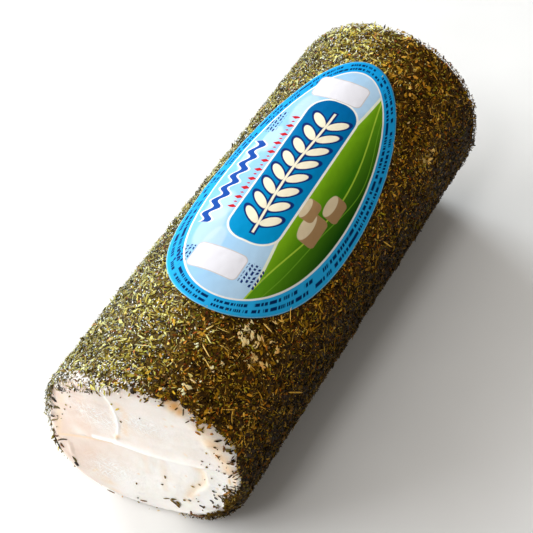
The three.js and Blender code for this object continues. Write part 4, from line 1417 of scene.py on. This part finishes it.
def label_rings(lift):
    """Rings over the label from its middle to its edge, with the bumps of the herbs, and their
    places on the print. A ring is an oval that narrows along the label, turned on the skin; its
    way round over the log's radius is the angle."""
    share = ((np.arange(LABEL_RINGS) + 0.3) / (LABEL_RINGS - 0.7))[:, None]
    t = (np.arange(LABEL_AROUND) * 2 * np.pi / LABEL_AROUND)[None, :]
    u, v = share * np.cos(t), share * np.sin(t)
    along = LABEL_HALF_LENGTH * u
    over = LABEL_HALF_WIDTH * v * (1 - LABEL_TAPER * u)
    x = LABEL_CENTRE_X + along * math.cos(LABEL_TURN) - over * math.sin(LABEL_TURN)
    way = along * math.sin(LABEL_TURN) + over * math.cos(LABEL_TURN)
    angle = LABEL_CENTRE_ANGLE + way / LOG_RADIUS
    flat = on_log(x, angle, LOG_RADIUS + lift)
    bumps = 0.05 * ripples(flat, 5.0, 81) + 0.03 * ripples(flat, 2.2, 82)
    edge = 0.10 * smooth(share, 0.93, 1.0) * ripples(flat, 14.0, 83)
    places = np.stack([0.5 + 0.5 * u, 0.5 - 0.5 * v], -1)
    return on_log(x, angle, LOG_RADIUS + lift + bumps + edge), places


label_top, label_uv = label_rings(LABEL_LIFT + PAPER)
label_under, _ = label_rings(LABEL_LIFT)
label_all = np.concatenate([label_top, label_under[::-1]])
label_map = np.concatenate([label_uv, label_uv[::-1]])
label_points = np.concatenate([label_all.reshape(-1, 3), label_all[[0, -1]].mean(1)])
label_places = np.concatenate([label_map.reshape(-1, 2), [[0.5, 0.5], [0.5, 0.5]]])

# %% [markdown]
# The print could be a picture, but one made of nodes stays sharp at every size. It is drawn with
# plain arithmetic on millimetres: an oval is a length, a hill is a sine wave, a leaf is a
# stretched oval. A small class lets one write such sums as Python does, and makes a Math node for
# every sign.

# %% Arithmetic that makes nodes
class Field:
    """A number that varies over the surface: arithmetic on it adds Math nodes."""

    def __init__(self, nodes, socket):
        self.nodes, self.socket = nodes, socket

    def made(self, operation, a, b=0.0):
        """The result of one Math node on two fields or plain numbers."""
        raw = [v.socket if isinstance(v, Field) else v for v in (a, b)]
        return Field(self.nodes, self.nodes.math(operation, *raw))

    def __add__(self, other):
        return self.made("ADD", self, other)

    def __sub__(self, other):
        return self.made("SUBTRACT", self, other)

    def __rsub__(self, other):
        return self.made("SUBTRACT", other, self)

    def __mul__(self, other):
        return self.made("MULTIPLY", self, other)

    def __truediv__(self, other):
        return self.made("DIVIDE", self, other)

    def __abs__(self):
        return self.made("ABSOLUTE", self)

    def sin(self):
        return self.made("SINE", self)

    def cos(self):
        return self.made("COSINE", self)

    def high(self, other):
        """The larger of the two, which joins two shapes."""
        return self.made("MAXIMUM", self, other)

    def length(self, other):
        """The length of an arrow with these two sides."""
        return self.made("SQRT", self * self + other * other)

    def under(self, edge, blur=0.25):
        """1 where this is below the edge and 0 above it, with a soft border `blur` wide."""
        node = self.nodes.add("ShaderNodeMapRange", {"interpolation_type": "SMOOTHSTEP"})
        for key, value in (("Value", self), ("From Min", edge - blur), ("From Max", edge + blur)):
            self.nodes.put(node.inputs[key], value.socket if isinstance(value, Field) else value)
        node.inputs["To Min"].default_value = 1.0
        node.inputs["To Max"].default_value = 0.0
        return Field(self.nodes, node.outputs[0])


# %% The print's places and paint
class Print:
    """The label's places in millimetres, and the colour that is painted on it so far."""

    def __init__(self):
        self.nodes = Nodes("label print")
        uv = self.nodes.add("ShaderNodeUVMap", {"uv_map": "label"}).outputs["UV"]
        split = self.nodes.add("ShaderNodeSeparateXYZ", Vector=uv)
        u = Field(self.nodes, split.outputs["X"]) * 2.0 - 1.0
        v = Field(self.nodes, split.outputs["Y"]) * 2.0 - 1.0
        self.x = u * LABEL_HALF_LENGTH
        self.y = v * (1.0 - u * LABEL_TAPER) * LABEL_HALF_WIDTH
        self.turn = Field(self.nodes, self.nodes.math("ARCTAN2", v.socket, u.socket))
        # the way to the edge is the share left, over how fast the share grows there
        share = u.length(v)
        growth = (u / LABEL_HALF_LENGTH).length(v / LABEL_HALF_WIDTH)
        self.from_edge = (1.0 - share) * share / growth
        self.field = 1.0 - self.from_edge.under(6.6, 0.12)
        self.colour = self.blend(self.x * 0.008 + self.y * 0.012 + 0.5, (40, 172, 232), (20, 158, 226))

    def blend(self, share, first, second):
        """One ink that passes into another."""
        return self.nodes.mix(share.socket, srgb(*first), srgb(*second))

    def paint(self, mask, ink):
        """Puts an ink, or a blend of two, over the colour where the mask is 1."""
        over = srgb(*ink) if isinstance(ink, tuple) else ink
        self.colour = self.nodes.mix(mask.socket, self.colour, over)

    def box(self, centre_x, centre_y, half_x, half_y):
        """The distance from a rectangle, for rounded boxes."""
        past_x = (abs(self.x - centre_x) - half_x).high(0.0)
        return past_x.length((abs(self.y - centre_y) - half_y).high(0.0))

    def oval(self, centre_x, centre_y, half_x, half_y):
        """0 in the middle of an oval and 1 on its outline."""
        return ((self.x - centre_x) / half_x).length((self.y - centre_y) / half_y)


# %% [markdown]
# The design is a common kind, without any lettering: a blue rim with dashes in place of words, a
# pale sky with clouds, green hills with rounds of cheese, and a blue plate with a sprig of herb.
# It is painted from the back to the front, one function for each part.

# %% Rim and sky
NAVY, CREAM, WHITE, RED = (16, 44, 110), (250, 240, 212), (246, 244, 244), (196, 26, 34)
CLOUDS = (
    # middle across and up, half the width and half the height
    (-33, 16, 11, 5), (-22, 18, 9, 6), (-40, 11, 9, 4),
    (6, 21, 9, 3.5), (16, 17, 8, 4), (34, 12, 10, 5),
)


def paint_rim(p):
    """Uneven dashes in two rows: sines round the rim, whose pace is swayed by slower sines."""
    sway = (p.turn * 13.0).sin() * 2.2 + (p.turn * 29.0 + 1.0).sin() * 1.5
    for middle, pace, gap in ((2.1, 170.0, 23.0), (4.3, 150.0, 19.0)):
        dash = (p.turn * pace + sway * (pace / 60.0)).sin().under(0.62, 0.35)
        words = (p.turn * gap + sway).sin().under(0.86, 0.05)
        p.paint(abs(p.from_edge - middle).under(0.56, 0.2) * dash * words, (4, 42, 92))


def paint_sky(p):
    """A blend with soft clouds. On it a wavy line, which is a sine, and a row of diamonds and
    dots, where the distance up plus the size of a sine is small."""
    p.paint(p.field, p.blend(p.y * 0.03 + 0.2, (182, 214, 240), (124, 188, 232)))
    for cloud in CLOUDS:
        p.paint(p.oval(*cloud).under(0.92, 0.14) * p.field * 0.5, (206, 224, 244))
    wavy = abs(p.y - 20.5 - (p.x * 0.9).sin() * 1.5)
    reached = abs(p.x + 8.0).under(23.0, 0.4)
    p.paint(wavy.under(2.5, 0.15) * reached, WHITE)
    p.paint(wavy.under(1.6, 0.15) * reached, (20, 74, 160))
    step = (p.x - 4.0) * 0.62
    row = abs(p.x - 4.0).under(26.0)
    for beat, size in ((step.sin(), 2.0), (step.cos(), 0.9)):
        p.paint((abs(p.y - 13.2) + abs(beat) * 3.4).under(size, 0.2) * row, RED)


# %% Hills and cheese
CHEESE_ROUNDS = ((-16, -17, 7.0), (-2.5, -19.5, 5.6), (-9.5, -12.2, 5.0))


def paint_hills(p):
    """Two hills, green below a sine, with pale lines along their tops."""
    far_top = p.y - (p.x * 0.052 + 1.4).sin() * 2.6 + 8.6
    near_top = p.y - (p.x * 0.046 - 1.7).sin() * 5.0 + 15.0
    far_green = p.blend(p.y * 0.09 + 1.6, (60, 122, 14), (140, 190, 26))
    near_green = p.blend(p.y * 0.08 + 2.1, (22, 72, 12), (92, 150, 22))
    p.paint(far_top.under(0.0, 0.12) * p.field, far_green)
    p.paint(abs(far_top).under(0.5, 0.12) * p.field, (236, 240, 214))
    p.paint(near_top.under(0.0, 0.12) * p.field, near_green)
    p.paint(abs(near_top).under(0.28, 0.12) * p.field, (170, 204, 60))
    p.paint(abs(near_top + 3.4 + (p.x * 0.11).sin()).under(0.16, 0.12) * p.field, (110, 164, 40))


def paint_cheeses(p):
    """Rounds of cheese: a box for the side and a paler oval for the top."""
    for x, y, half in CHEESE_ROUNDS:
        side = p.box(x, y, half - 2, half * 0.22).under(2.0, 0.12)
        top = p.oval(x, y + half * 0.36, half * 0.96, half * 0.33).under(1.0, 0.06)
        p.paint(side * p.field, (168, 132, 90))
        p.paint(top * p.field, (226, 206, 170))


# %% Plate with a sprig
LEAF_PAIRS = 8


def paint_plate(p):
    """A rounded blue box with a cream edge, and a sprig on it: a bowed stem and pairs of leaves,
    each a stretched oval turned by 45 degrees. The larger, navy shapes below make its outline."""
    side = p.box(4, 1, 30, 1.5)
    p.paint(side.under(9.0, 0.12), (246, 242, 232))
    p.paint(side.under(8.2, 0.12), p.blend(p.x * 0.014 + 0.4, (4, 144, 200), (0, 98, 158)))
    bow = p.y - 1.0 - (p.x * 0.08).cos() * 0.9
    leaves = [abs(p.x - 3.0).under(33.0) * abs(bow).under(0.45, 0.12)]
    outlines = [abs(p.x - 3.0).under(33.8) * abs(bow).under(1.2, 0.12)]
    for pair in range(LEAF_PAIRS):
        run_x, run_y = p.x - (-22.5 + 7.6 * pair), abs(bow) - 3.7
        leaf = ((run_x * 0.7 + run_y * 0.71) / 4.3).length((run_y * 0.7 - run_x * 0.71) / 1.75)
        leaves.append(leaf.under(1.0, 0.06))
        outlines.append(leaf.under(1.36, 0.06))
    for shapes, ink in ((outlines, NAVY), (leaves, CREAM)):
        whole = shapes[0]
        for shape in shapes[1:]:
            whole = whole.high(shape)
        p.paint(whole * side.under(8.0, 0.12), ink)


# %% Blank boxes and the finished label
BLANK_BOXES = ((-46.5, 5.5, 3.6, 7.5), (48.5, 4.0, 3.4, 8.0))
DASH_BLOCKS = ((-46.5, -8.5, 4.5, 3.2), (-47, 18.5, 4, 2.4), (26, 20.5, 5.5, 2.4))


def paint_boxes(p):
    """White boxes with a grey edge, and blocks of fine dashes in place of small print: lines are
    a sine up the label, cut by a second sine across it."""
    for place in BLANK_BOXES:
        p.paint(p.box(*place).under(2.4, 0.12), (206, 198, 196))
        p.paint(p.box(*place).under(2.0, 0.12), (232, 230, 236))
    for place in DASH_BLOCKS:
        lines = (p.y * 4.2).sin().under(0.1, 0.3)
        cuts = (p.x * 3.1 + (p.y * 1.4).sin() * 2.0 + (p.x * 1.3).sin()).sin().under(0.4, 0.3)
        p.paint(p.box(*place).under(0.3) * (lines * cuts), NAVY)


def paint_lines(p):
    """A fine line inside the rim, and the paper's cut edge."""
    p.paint(abs(p.from_edge - 6.4).under(0.35, 0.12), (244, 240, 236))
    p.paint(p.from_edge.under(0.35, 0.12), (120, 190, 226))


def label_finish():
    """The whole print on paper whose fibres make faint bumps."""
    p = Print()
    for part in (paint_rim, paint_sky, paint_hills, paint_cheeses, paint_plate, paint_boxes, paint_lines):
        part(p)
    fibre = p.nodes.bump(p.nodes.noise(2.4, 3.0), 0.06)
    return p.nodes.finish(p.colour, 0.5, fibre, Specular_IOR_Level=0.02)


label = new_piece("label_paper", label_points, ring_faces(len(label_all), LABEL_AROUND), label_finish())
uv_layer = label.data.uv_layers.new(name="label")
corner_points = np.empty(len(label.data.loops), np.int32)
label.data.loops.foreach_get("vertex_index", corner_points)
uv_layer.data.foreach_set("uv", label_places[corner_points].astype(np.float32).ravel())
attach(label, "root")
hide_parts("paper_label")


# %% [markdown]
# The room is plain: a pale floor under large soft lamps. A window and a skylight behind the log
# are cool and leave its front in shade, as in the picture. A high window lights the label, a small
# lamp the bare end, and the weak warm world fills the shade. A picture of a room as the world
# would do too, but lamps can be moved one by one until the shine sits where the picture has it.

# %% Floor
def floor_finish():
    """White paper with large, faint clouds of grey."""
    n = Nodes("pale floor")
    shade = n.ramp(n.noise(60.0, 2.0), ((0.3, srgb(246, 246, 245)), (0.7, srgb(250, 250, 249))))
    return n.finish(shade, 0.7, Specular_IOR_Level=0.2)


FLOOR_HALF = 3000
floor_corners = np.array([(-1, -1, 0), (1, -1, 0), (1, 1, 0), (-1, 1, 0)], float) * FLOOR_HALF
floor = new_piece("floor", floor_corners, [np.array([[0, 1, 2, 3]])], floor_finish())


# %% Lights
LAMPS = (
    # name, direction from the log, distance, size, power in watts and colour
    ("window", (-0.50, 0.78, 0.40), 2200, 1600, 39, (0.97, 0.98, 1.0)),
    ("skylight", (0.36, 0.85, 0.42), 2000, 1000, 32, (0.90, 0.96, 1.0)),
    ("high window", (-0.15, 0.40, 0.90), 2200, 2000, 12, (1.0, 0.98, 0.94)),
    ("face lamp", (-0.60, 0.05, 0.80), 1500, 300, 3.2, (1.0, 0.975, 0.95)),
)


def area_light(name, direction, distance, size, power, colour):
    """A square lamp at `distance` mm from the log in a direction, facing it."""
    data = bpy.data.lights.new(name, "AREA")
    data.shape = "SQUARE"
    data.size = size * MM
    data.energy = power
    data.color = colour
    lamp = bpy.data.objects.new(name, data)
    away = Vector(direction).normalized()
    facing = away.to_track_quat("Z", "Y").to_matrix().to_4x4()
    lamp.matrix_world = Matrix.Translation(away * distance * MM) @ facing
    bpy.context.scene.collection.objects.link(lamp)


for lamp in LAMPS:
    area_light(*lamp)
world = bpy.data.worlds.new("room")
bpy.context.scene.world = world
world.use_nodes = True
background = world.node_tree.nodes["Background"]
background.inputs["Color"].default_value = (1.0, 0.95, 0.88, 1)
background.inputs["Strength"].default_value = 0.25
bpy.context.scene.view_settings.view_transform = "Standard"
print("lamps:", len(LAMPS))
